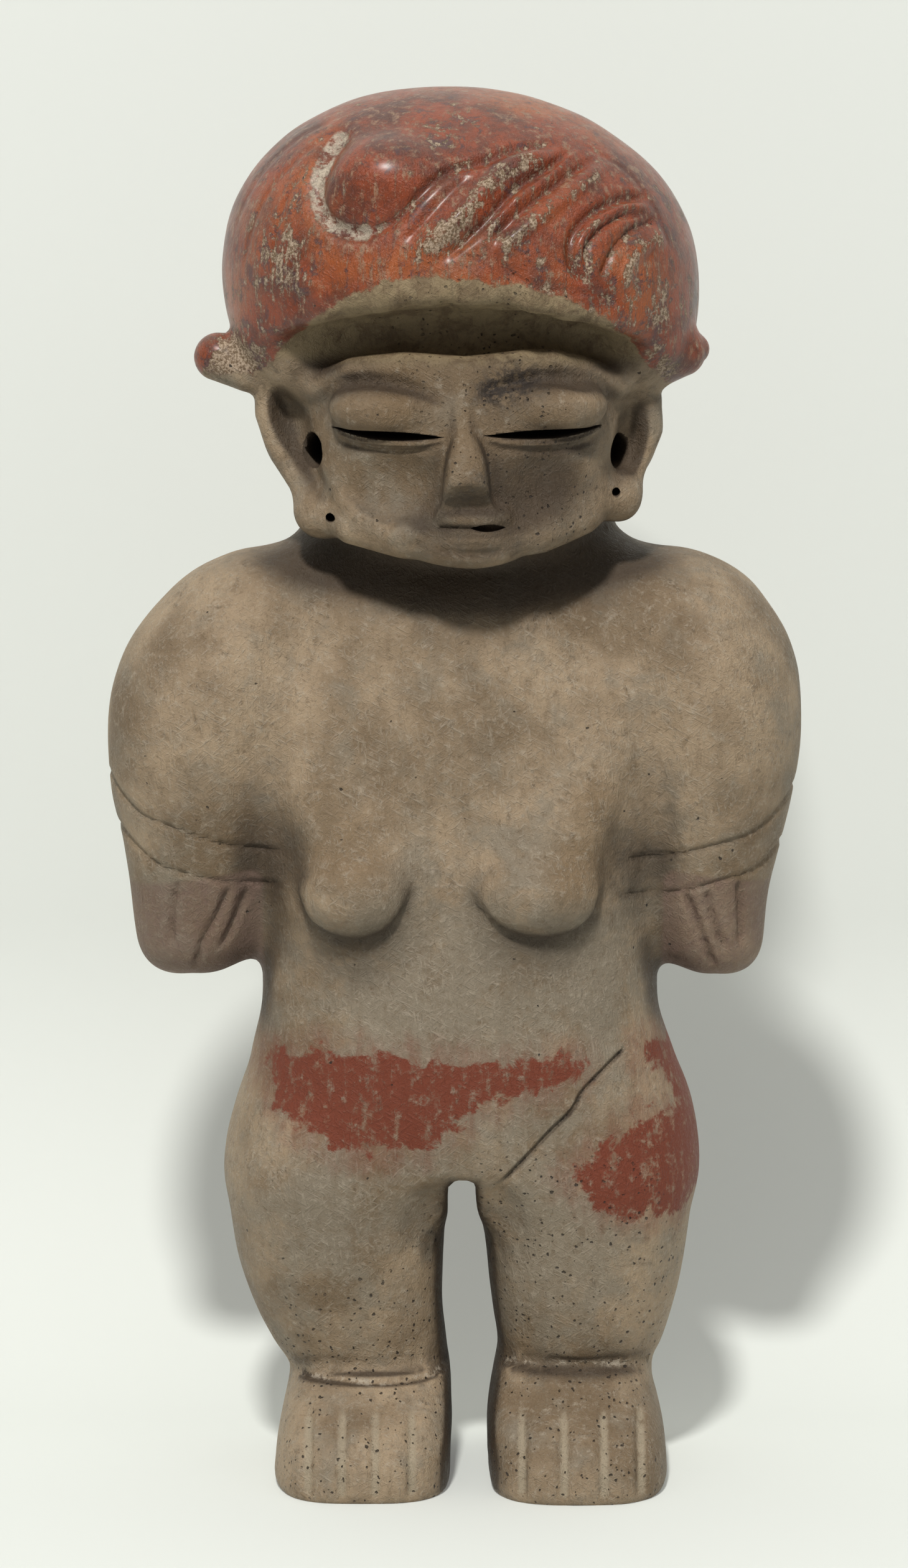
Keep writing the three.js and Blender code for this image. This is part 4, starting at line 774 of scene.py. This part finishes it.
facing = np.empty(len(p) * 3)
mesh.vertices.foreach_get("normal", facing)
facing = facing.reshape(-1, 3)
# painted shade: darker where the clay closes round a place, and in soft spots under the chin, under the
# breasts, beside the arms, at the crotch and on the right cheek
shadeSpots = softSpots([(19, 221, 10, 0.4), (-22, 121, 13, 0.25), (15, 121, 13, 0.25), (33, 138, 9, 0.2),
                  (-39, 138, 9, 0.2), (3, 198, 20, 0.3), (62, 140, 14, 0.15), (0, 70, 20, 0.1)])
store("soil", 0.3 * closedIn(3) + 0.4 * closedIn(9) + 0.5 * closedIn(20) + shadeSpots)

patches = {
    "ochre": [(0, 222, 26, 0.3), (-24, 140, 12, 1), (-30, 156, 8, 0.6), (24, 136, 9, 1.1),
              (28, 152, 8, 0.9), (-60, 158, 10, 0.5), (58, 150, 11, 0.5), (-15, 236, 9, 0.6),
              (18, 236, 8, 0.3), (-12, 245, 8, 0.5), (-40, 80, 12, 0.3), (22, 20, 9, 0.3),
              (-22, 34, 12, 0.3), (0, 170, 20, 0.3), (-26, 214, 5, 0.5), (3, 208, 5, 0.5)],
    "grey": [(0, 112, 30, 0.7), (-30, 58, 18, 0.6), (24, 60, 16, 0.8), (-10, 100, 16, 0.8),
             (30, 118, 12, 0.6), (-62, 120, 14, 0.3), (2, 196, 14, 0.3), (-38, 66, 10, 0.4),
             (20, 45, 14, 0.4), (-16, 216, 9, 0.5)],
    "brown": [(-48, 165, 20, 0.4), (46, 165, 18, 0.4), (0, 150, 22, 0.35), (0, 188, 30, -0.5),
              (0, 40, 12, 0.4), (20, 32, 20, 0.4), (0.6, 222, 7, 3), (-62, 200, 20, -0.4),
              (0, 254, 34, 0.9), (-25, 50, 26, 0.7), (0, 90, 30, 0.5), (-60, 130, 16, 0.6),
              (56, 130, 16, 0.6), (16, 220, 12, 1.3), (-16, 220, 12, 0.8), (1, 198, 16, 0.8)],
    "specky": [(14, 221, 9, 1), (10, 240, 6, 1), (20, 214, 8, 0.8), (24, 50, 26, 0.75), (-22, 30, 24, 0.55),
               (24, 12, 22, 1), (-22, 8, 20, 0.8), (0, 255, 26, 0.4), (2, 226, 5, 0.8), (10, 60, 12, 0.6)],
    "soot": [(0.6, 218.6, 2.6, 0.5), (9, 240.5, 4.5, 0.9), (14, 241.5, 4, 0.7), (5, 239, 3, 0.7),
             (3.5, 222, 2.5, 0.5)],
    "worn": [(-37, 271.5, 6.5, 1.1), (-37.5, 262, 6, 0.9), (-31, 285, 6, 0.5), (40, 256, 10, 0.8),
             (0, 266, 14, 0.5), (-4, 292, 8, 0.6), (24, 262, 12, 0.5), (-46, 252, 9, 0.6),
             (-48, 242.5, 6, 2), (41, 242, 4, 1.4), (44, 276, 6, 0.5)],
}
for name, places in patches.items():
    store(name, softSpots(places))
ankleLine = np.zeros(len(p))
for path in carving["ankles"]:
    ankleLine = np.maximum(ankleLine, groove(p, path, 2.2, 1, 0.06))
store("silt", ankleLine * rise(-4, -10, y) * (z < 30))
hipPaint = {  # x, z, half-width
    "left": [(-38, 91, 5), (-31, 87.6, 9.6), (-22, 86, 11.6), (-13, 85.6, 10.6), (-6, 87.6, 8),
             (1, 90, 5.6), (8, 91.4, 4.6), (15, 92, 4.2), (23, 93.6, 3.4)],
    "right": [(27, 70, 4.4), (35, 69.6, 9.6), (43, 71.4, 11.6), (51, 74, 11)],
    "upperRight": [(40, 95.6, 2.4), (46, 92, 4.6), (51, 86, 5)],
}
store("band", np.maximum.reduce([thickLine(path) for path in hipPaint.values()]) - 12 * rise(4, 16, y))
store("rim", rise(240, 250, z) * rise(0, -8, y))
store("face", rise(199, 206, z) * rise(0, -8, y))
store("paleGroove", np.clip(hairDepth / 1.3, 0, 1) * rise(-10, -20, x) * rise(262, 268, z))
mesh.polygons.foreach_set("use_smooth", np.ones(len(mesh.polygons), bool))
tell("places marked")

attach(piece, "root")
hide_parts("pottery_figure")

# finishes: one fired clay, with the red slip, the paint, the wear, real stains and painted shade laid over
# it
Makers = namedtuple("Makers", "add maths ramp blend shifted cloud attribute")


def maker(tree):
    # short ways to add nodes to one tree
    def feed(socket, value):
        if isinstance(value, bpy.types.NodeSocket):
            tree.links.new(value, socket)
        else:
            socket.default_value = value

    def add(kind, settings=None, **feeds):
        made = tree.nodes.new("ShaderNode" + kind)
        for name, value in (settings or {}).items():
            setattr(made, name, value)
        for name, value in feeds.items():
            feed(made.inputs[name.replace("_", " ")], value)
        return made

    def maths(operation, a, b=0.5, c=0.5, clamp=False):
        made = add("Math", {"operation": operation, "use_clamp": clamp})
        for socket, value in zip(made.inputs, (a, b, c)):
            feed(socket, value)
        return made.outputs[0]

    def ramp(value, low, high, to=(0, 1)):
        made = add("MapRange", {"interpolation_type": "SMOOTHSTEP"}, Value=value)
        made.inputs["From Min"].default_value = low
        made.inputs["From Max"].default_value = high
        made.inputs["To Min"].default_value, made.inputs["To Max"].default_value = to
        return made.outputs["Result"]

    def blend(factor, a, b):
        made = add("Mix", {"data_type": "RGBA"})
        feed(made.inputs[0], factor)
        feed(made.inputs[6], a if isinstance(a, bpy.types.NodeSocket) else (*a, 1))
        feed(made.inputs[7], b if isinstance(b, bpy.types.NodeSocket) else (*b, 1))
        return made.outputs[2]

    def shifted(place, shift=(0, 0, 0), turn=(0, 0, 0), scale=(1, 1, 1)):
        made = add("Mapping", Vector=place)
        made.inputs["Location"].default_value = shift
        made.inputs["Rotation"].default_value = [math.radians(a) for a in turn]
        made.inputs["Scale"].default_value = scale
        return made.outputs["Vector"]

    def cloud(place, size, detail=3, rough=0.55, shift=0, warp=0):
        # soft noise with patches about this many millimetres wide
        if shift:
            place = shifted(place, (shift, shift * 0.7, shift * 1.3))
        made = add("TexNoise", Vector=place, Scale=1000 / size, Detail=detail, Roughness=rough,
                   Distortion=warp)
        return made.outputs["Fac"]

    def attribute(name):
        return add("Attribute", {"attribute_name": name}).outputs["Fac"]

    return Makers(add, maths, ramp, blend, shifted, cloud, attribute)


def newGroup(name, inputs, outputs):
    made = bpy.data.node_groups.new(name, "ShaderNodeTree")
    for label, kind, value in inputs:
        socket = made.interface.new_socket(name=label, in_out="INPUT", socket_type="NodeSocket" + kind)
        if value is not None:
            socket.default_value = value
    for label, kind in outputs:
        made.interface.new_socket(name=label, in_out="OUTPUT", socket_type="NodeSocket" + kind)
    return made, made.nodes.new("NodeGroupInput").outputs, made.nodes.new("NodeGroupOutput").inputs


def makeStrokes():
    # short burnishing strokes that cross at several angles
    inputs = [("Vector", "Vector", None), ("Width", "Float", 0.6), ("Reach", "Float", 4.0)]
    group, given, out = newGroup("burnishStrokes", inputs, [("Strokes", "Float")])
    make = maker(group)
    across = make.maths("DIVIDE", 1000, given["Width"])
    along = make.maths("DIVIDE", 1000, given["Reach"])
    stretch = make.add("CombineXYZ", X=across, Y=across, Z=along).outputs[0]
    found = None
    for i, turn in enumerate([(0, 8, 0), (10, 62, 20), (-15, -48, 35)]):
        place = make.shifted(given["Vector"], (0.31 * i, 0.17 * i, 0.23 * i), turn)
        drawn = make.add("VectorMath", {"operation": "MULTIPLY"})
        group.links.new(place, drawn.inputs[0])
        group.links.new(stretch, drawn.inputs[1])
        fibre = make.add("TexNoise", Vector=drawn.outputs[0], Scale=1.0, Detail=2.0, Roughness=0.6,
                         Distortion=0.4)
        fibre = make.ramp(fibre.outputs["Fac"], 0.5, 0.74)
        found = fibre if found is None else make.maths("MAXIMUM", found, fibre)
    group.links.new(found, out["Strokes"])
    return group


def makePores():
    # scattered pits: cells about Size millimetres apart, of which a share hold a pit
    inputs = [("Vector", "Vector", None), ("Size", "Float", 3.0), ("Share", "Float", 0.3),
              ("Radius", "Float", 0.12)]
    group, given, out = newGroup("pores", inputs, [("Pores", "Float")])
    make = maker(group)
    cells = make.add("TexVoronoi", {"feature": "F1"}, Vector=given["Vector"],
                     Scale=make.maths("DIVIDE", 1000, given["Size"]), Randomness=1.0)
    pick = make.add("SeparateColor", Color=cells.outputs["Color"]).outputs
    radius = make.maths("MULTIPLY", given["Radius"], make.maths("ADD", 0.5, pick["Green"]))
    reach = make.maths("DIVIDE", cells.outputs["Distance"], radius)
    inPit = make.maths("SUBTRACT", 1.0, reach, clamp=True)
    chosen = make.maths("LESS_THAN", pick["Red"], given["Share"])
    group.links.new(make.maths("MULTIPLY", make.ramp(inPit, 0, 0.5), chosen), out["Pores"])
    return group


strokesGroup, poresGroup = makeStrokes(), makePores()

tones = {  # scene-linear colours
    "tan": (0.345, 0.256, 0.166),
    "brown": (0.138, 0.092, 0.050),
    "grey": (0.225, 0.188, 0.138),
    "ochre": (0.175, 0.112, 0.056),
    "soil": (0.040, 0.026, 0.016),
    "fleck": (0.430, 0.370, 0.290),
    "speckAndShade": (0.030, 0.022, 0.017),
    "slip": (0.225, 0.043, 0.012),
    "slipOrange": (0.320, 0.086, 0.021),
    "slipDark": (0.080, 0.022, 0.012),
    "slipWorn": (0.400, 0.310, 0.225),
    "dust": (0.370, 0.225, 0.135),
    "rim": (0.260, 0.195, 0.110),
    "paint": (0.165, 0.036, 0.016),
    "mauve": (0.175, 0.112, 0.088),
    "pale": (0.460, 0.395, 0.310),
    "silt": (0.360, 0.300, 0.215),
    "bruise": (0.060, 0.030, 0.034),
}

clay = bpy.data.materials.new("firedClay")
clay.use_nodes = True
tree = clay.node_tree
shader = tree.nodes["Principled BSDF"]
add, maths, ramp, blend, shifted, cloud, attribute = maker(tree)
place = add("TexCoord").outputs["Object"]

clouds = {  # width of the patches in mm, detail, roughness, shift, warp
    "broad": (34, 3, 0.6),
    "blotch": (11, 5, 0.68, 3.1, 0.3),
    "mottle": (5, 5, 0.75, 4.4, 0.5),
    "fine": (2.2, 6, 0.75, 5.7),
    "grain": (0.55, 3, 0.7, 8.3),
    "paintEdge": (5.5, 7, 0.72, 1.9, 0.6),
    "slipEdge": (4.5, 6, 0.7, 2.3),
    "streak": (3.2, 5, 0.7),
    "combed": (1.5, 5, 0.72),
}
drawnOut = {  # shift, turn in degrees and scale of the clouds that are drawn out to brush strokes
    "streak": ((0.11, 0.07, 0.03), (0, 3, 0), (1, 1, 0.16)),
    "combed": ((0.2, 0.4, 0.1), (0, -38, 0), (1, 1, 0.14)),
}


def patchy(name):
    where = shifted(place, *drawnOut[name]) if name in drawnOut else place
    return cloud(where, *clouds[name])


broad, blotch, mottle = patchy("broad"), patchy("blotch"), patchy("mottle")
fine, grain = patchy("fine"), patchy("grain")
streak, combed = patchy("streak"), patchy("combed")

strokes = add("Group", {"node_tree": strokesGroup}, Vector=place, Width=0.55, Reach=3.6).outputs["Strokes"]
wander = add("TexNoise", Vector=place, Scale=900.0, Detail=2.0).outputs["Color"]
pushed = add("VectorMath", {"operation": "MULTIPLY_ADD"})
tree.links.new(wander, pushed.inputs[0])
pushed.inputs[1].default_value = (0.0011, 0.0011, 0.0011)
tree.links.new(place, pushed.inputs[2])
bent = pushed.outputs[0]
pores = add("Group", {"node_tree": poresGroup}, Vector=bent, Size=2.6, Share=0.12, Radius=0.10)
pores = pores.outputs["Pores"]
specks = add("Group", {"node_tree": poresGroup}, Vector=shifted(bent, (0.5, 0.2, 0.9)), Size=1.25,
             Share=0.5, Radius=0.22).outputs["Pores"]

# bare clay: tan, browner in slow patches, with a grey bloom, ochre stains and pale flecks
browned = maths("ADD", broad, maths("MULTIPLY", attribute("brown"), 0.22))
colour = blend(ramp(browned, 0.44, 0.68, (0, 0.85)), tones["tan"], tones["brown"])
bloom = maths("ADD", blotch, maths("MULTIPLY", attribute("grey"), 0.3))
colour = blend(ramp(bloom, 0.46, 0.72, (0, 0.85)), colour, tones["grey"])
stain = maths("ADD", maths("MULTIPLY", attribute("ochre"), 0.5), maths("MULTIPLY", blotch, 0.55))
colour = blend(ramp(stain, 0.42, 0.8, (0, 0.7)), colour, tones["ochre"])
colour = blend(ramp(streak, 0.5, 0.74, (0, 0.36)), colour, tones["brown"])
colour = blend(ramp(fine, 0.52, 0.72, (0, 0.55)), colour, tones["fleck"])
colour = blend(ramp(fine, 0.47, 0.3, (0, 0.62)), colour, tones["brown"])
colour = blend(ramp(mottle, 0.5, 0.68, (0, 0.5)), colour, tones["brown"])
offFace = maths("SUBTRACT", 1.0, maths("MULTIPLY", attribute("face"), 0.85))
scratched = maths("MULTIPLY", ramp(mottle, 0.42, 0.6, (0.04, 0.4)), offFace)
colour = blend(maths("MULTIPLY", strokes, scratched), colour, tones["fleck"])

# painted shade: the clay darkened in the hollows and under the chin, breasts and arms
shadeAmount = maths("MULTIPLY_ADD", maths("SUBTRACT", blotch, 0.5), 0.25, attribute("soil"))
colour = blend(ramp(shadeAmount, 0.1, 0.66, (0, 0.86)), colour, tones["soil"])

# mauve hands
hand = ramp(maths("ADD", attribute("hand"), maths("MULTIPLY", fine, 0.3)), 0.45, 0.8)
colour = blend(maths("MULTIPLY", hand, ramp(fine, 0.25, 0.6, (0.9, 0.45))), colour, tones["mauve"])

# red paint round the hips, solid in the middle and washed out to its ragged edges
ragged = maths("MULTIPLY_ADD", maths("SUBTRACT", patchy("paintEdge"), 0.5), 15, attribute("band"))
paint = ramp(ragged, -0.6, 1.6)
rubbed = ramp(maths("MULTIPLY_ADD", streak, 0.4, maths("MULTIPLY", fine, 0.6)), 0.5, 0.62)
paint = maths("MULTIPLY", paint, maths("SUBTRACT", 1.0, maths("MULTIPLY", rubbed, 0.6)))
wash = maths("MULTIPLY", ramp(ragged, -7, 0), ramp(streak, 0.35, 0.65, (0.1, 0.4)))
paint = maths("MAXIMUM", paint, wash)
colour = blend(paint, colour, tones["paint"])

# the hair: burnished red slip over the clay
slipLine = maths("MULTIPLY_ADD", maths("SUBTRACT", patchy("slipEdge"), 0.5), 7, attribute("slip"))
slip = ramp(slipLine, -0.5, 0.5)
red = blend(ramp(blotch, 0.34, 0.6), tones["slipDark"], tones["slip"])
red = blend(ramp(broad, 0.46, 0.66, (0, 0.8)), red, tones["slipOrange"])
red = blend(ramp(combed, 0.47, 0.62, (0, 0.7)), red, tones["slipDark"])
grooved = attribute("hairGroove")
# painted shade: the slip is darker red down in the carved grooves
red = blend(ramp(grooved, 0.25, 0.9, (0, 0.5)), red, tones["slipDark"])
dusty = maths("MULTIPLY_ADD", fine, 0.5, maths("MULTIPLY", combed, 0.5))
red = blend(ramp(dusty, 0.505, 0.6, (0, 0.55)), red, tones["dust"])
bruised = maths("MULTIPLY_ADD", attribute("worn"), 0.1, maths("MULTIPLY", mottle, 0.9))
red = blend(ramp(bruised, 0.52, 0.6, (0, 0.75)), red, tones["bruise"])
lost = maths("MULTIPLY_ADD", fine, 0.38, maths("MULTIPLY", mottle, 0.3))
lost = maths("MULTIPLY_ADD", combed, 0.32, lost)
lost = maths("MULTIPLY_ADD", attribute("worn"), 0.085, lost)
# the ridges wear pale too: partly wear, partly a painted highlight
lost = maths("MULTIPLY_ADD", attribute("hairRidge"), 0.085, lost)
lost = maths("MULTIPLY_ADD", ramp(grooved, 0.05, 0.5), 0.045, lost)
worn = ramp(lost, 0.565, 0.62, (0, 0.9))
red = blend(worn, red, blend(ramp(grain, 0.4, 0.6), tones["slipWorn"], tones["brown"]))
palest = maths("MULTIPLY", ramp(attribute("paleGroove"), 0.35, 0.9, (0, 0.8)), ramp(fine, 0.4, 0.54))
red = blend(palest, red, tones["pale"])
rim = blend(ramp(mottle, 0.42, 0.62, (0, 0.8)), tones["rim"], tones["brown"])
colour = blend(slip, blend(ramp(attribute("rim"), 0.2, 0.8, (0, 0.85)), colour, rim), red)

# pale silt in the toe grooves and cuts, dark specks, painted shade inside the openings and the cut lines,
# and soot stains
silt = maths("MULTIPLY", attribute("toeGroove"), ramp(fine, 0.3, 0.5, (0.45, 1)))
colour = blend(ramp(silt, 0.2, 0.95, (0, 0.85)), colour, tones["silt"])
silt = maths("MULTIPLY", attribute("silt"), ramp(fine, 0.42, 0.58))
colour = blend(ramp(silt, 0.2, 0.9, (0, 0.7)), colour, tones["pale"])
speckled = ramp(maths("ADD", attribute("specky"), maths("MULTIPLY", blotch, 0.6)), 0.45, 0.8)
spots = maths("MAXIMUM", pores, maths("MULTIPLY", specks, speckled))
colour = blend(maths("MULTIPLY", spots, 0.88), colour, tones["speckAndShade"])
# painted shade: near black inside the eye, ear and mouth openings, and darker in the cut cuff, finger and
# crack lines
soot = maths("ADD", attribute("inside"), maths("MULTIPLY", attribute("cut"), ramp(fine, 0.35, 0.6)))
colour = blend(ramp(soot, 0.3, 1.0, (0, 0.85)), colour, tones["speckAndShade"])
stained = maths("MULTIPLY", attribute("soot"), ramp(fine, 0.4, 0.56))
colour = blend(stained, colour, tones["speckAndShade"])
tree.links.new(colour, shader.inputs["Base Color"])

# matt clay with a faint burnish in the strokes; the slip is glossier, and dull where it is worn
matt = ramp(fine, 0.3, 0.7, (0.52, 0.72))
matt = maths("SUBTRACT", matt, maths("MULTIPLY", strokes, 0.2))
gloss = maths("ADD", ramp(mottle, 0.35, 0.65, (0.30, 0.46)), maths("MULTIPLY", worn, 0.25))
rough = add("Mix", {"data_type": "FLOAT"})
tree.links.new(slip, rough.inputs[0])
tree.links.new(matt, rough.inputs[2])
tree.links.new(gloss, rough.inputs[3])
tree.links.new(rough.outputs[0], shader.inputs["Roughness"])
coat = maths("MULTIPLY", slip, maths("SUBTRACT", 1.0, worn))
tree.links.new(maths("MULTIPLY", coat, 0.42), shader.inputs["Coat Weight"])
shader.inputs["Coat Roughness"].default_value = 0.3
shader.inputs["Specular IOR Level"].default_value = 0.32

# fine relief as bump: grain, brush strokes, combing, pits and the loss of worn slip
height = maths("MULTIPLY", grain, 0.22)
height = maths("MULTIPLY_ADD", fine, maths("SUBTRACT", 0.9, maths("MULTIPLY", slip, 0.5)), height)
height = maths("MULTIPLY_ADD", strokes, 0.22, height)
height = maths("MULTIPLY_ADD", streak, 0.5, height)
height = maths("MULTIPLY_ADD", maths("MULTIPLY", combed, slip), 0.7, height)
height = maths("MULTIPLY_ADD", spots, -1.4, height)
height = maths("MULTIPLY_ADD", worn, -0.35, height)
reliefDepth = 0.00055  # metres, for a height of 1
bump = add("Bump", Height=height, Strength=1.0, Distance=reliefDepth)
tree.links.new(bump.outputs["Normal"], shader.inputs["Normal"])

mesh.materials.clear()
mesh.materials.append(clay)
tell("finishes made")


# floor, light
stageSet = {
    "near": -3.0, "side": 3.0, "bendStart": 0.03, "bendRadius": 0.096, "top": 2.4,  # metres
    "colour": (0.61, 0.635, 0.605, 1), "farColour": (0.30, 0.31, 0.30, 1), "roughness": 0.9,
    "fade": (-0.11, -0.5),  # y in metres where the paper begins to darken, and where it is darkest: painted shade, as if the light fell off in front of the figure
    # the paper's faint glow is painted light that lightens the shadows cast on it
    "glow": 0.125, "glowColour": (1, 1, 0.97, 1),
}
bm = bmesh.new()
first = bm.verts.new((-stageSet["side"], stageSet["near"], 0))
last = bm.verts.new((-stageSet["side"], stageSet["bendStart"], 0))
bm.edges.new((first, last))
bmesh.ops.spin(bm, geom=[last], cent=(0, stageSet["bendStart"], stageSet["bendRadius"]), axis=(1, 0, 0),
               angle=math.pi / 2, steps=24, use_merge=False, use_duplicate=False)
bm.verts.ensure_lookup_table()
wallFoot = max(bm.verts, key=lambda v: v.co.y + v.co.z)
wallTop = bmesh.ops.extrude_vert_indiv(bm, verts=[wallFoot])["verts"]
bmesh.ops.translate(bm, verts=wallTop, vec=(0, 0, stageSet["top"]))
swept = bmesh.ops.extrude_edge_only(bm, edges=bm.edges[:])["geom"]
bmesh.ops.translate(bm, verts=vertsOf(swept), vec=(2 * stageSet["side"], 0, 0))
bm.normal_update()
if sum(f.normal.z for f in bm.faces) < 0:
    bmesh.ops.reverse_faces(bm, faces=bm.faces)
floorMesh = bpy.data.meshes.new("paleSweep")
bm.to_mesh(floorMesh)
bm.free()
floorMesh.polygons.foreach_set("use_smooth", np.ones(len(floorMesh.polygons), bool))
floor = linked("paleSweep", floorMesh)
paper = bpy.data.materials.new("palePaper")
paper.use_nodes = True
paperTree = paper.node_tree
paperShader = paperTree.nodes["Principled BSDF"]
paperShader.inputs["Roughness"].default_value = stageSet["roughness"]
# painted light: the paper glows faintly, which lightens the shadows on it
paperShader.inputs["Emission Color"].default_value = stageSet["glowColour"]
paperShader.inputs["Emission Strength"].default_value = stageSet["glow"]
make = maker(paperTree)
apart = make.add("SeparateXYZ", Vector=make.add("TexCoord").outputs["Object"])
# painted shade: the paper is darker farther in front of the figure
nearness = make.ramp(apart.outputs["Y"], *stageSet["fade"])
shade = make.blend(nearness, stageSet["colour"][:3], stageSet["farColour"][:3])
paperTree.links.new(shade, paperShader.inputs["Base Color"])
# seen from behind, the paper lets the view and the light through, so the figure's back can be looked at
clear, facing, either = make.add("BsdfTransparent"), make.add("NewGeometry"), make.add("MixShader")
paperTree.links.new(facing.outputs["Backfacing"], either.inputs[0])
paperTree.links.new(paperShader.outputs[0], either.inputs[1])
paperTree.links.new(clear.outputs[0], either.inputs[2])
paperTree.links.new(either.outputs[0], paperTree.nodes["Material Output"].inputs["Surface"])
floorMesh.materials.append(paper)

lights = {  # azimuth and elevation in degrees, seen from the figure; size in metres; power in watts
    "key": dict(azimuth=-9, elevation=50, distance=1.5, size=0.15, power=21.5, colour=(1, 0.985, 0.95)),
    "fill": dict(azimuth=55, elevation=30, distance=1.7, size=0.9, power=0.8, colour=(0.95, 0.98, 1)),
}
lightAim = Vector((0, 0, 0.15))  # the middle of the figure
for name, lamp in lights.items():
    data = bpy.data.lights.new(name, "AREA")
    data.shape = "DISK"
    data.size = lamp["size"]
    data.energy = lamp["power"]
    data.color = lamp["colour"]
    light = linked(name, data)
    turn, up = math.radians(lamp["azimuth"]), math.radians(lamp["elevation"])
    away = Vector((math.sin(turn) * math.cos(up), -math.cos(turn) * math.cos(up), math.sin(up)))
    light.location = lightAim + away * lamp["distance"]
    light.rotation_euler = away.to_track_quat("Z", "Y").to_euler()

sky = {
    "level": 0.04, "overhead": 0.52,  # how bright the room is level with the figure and straight above
    "colour": (1, 0.985, 0.96, 1),
}
world = bpy.data.worlds.new("studio")
bpy.context.scene.world = world
world.use_nodes = True
skyTree = world.node_tree
make = maker(skyTree)
apart = make.add("SeparateXYZ", Vector=make.add("TexCoord").outputs["Generated"])
brightness = make.ramp(apart.outputs["Z"], -0.1, 1.0, (sky["level"], sky["overhead"]))
skyTree.links.new(brightness, skyTree.nodes["Background"].inputs["Strength"])
skyTree.nodes["Background"].inputs["Color"].default_value = sky["colour"]
bpy.context.scene.view_settings.view_transform = "Standard"
tell("floor and lights")

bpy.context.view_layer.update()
triangles = sum(len(face.vertices) - 2 for face in mesh.polygons)
tell(f"done, {triangles} triangles")
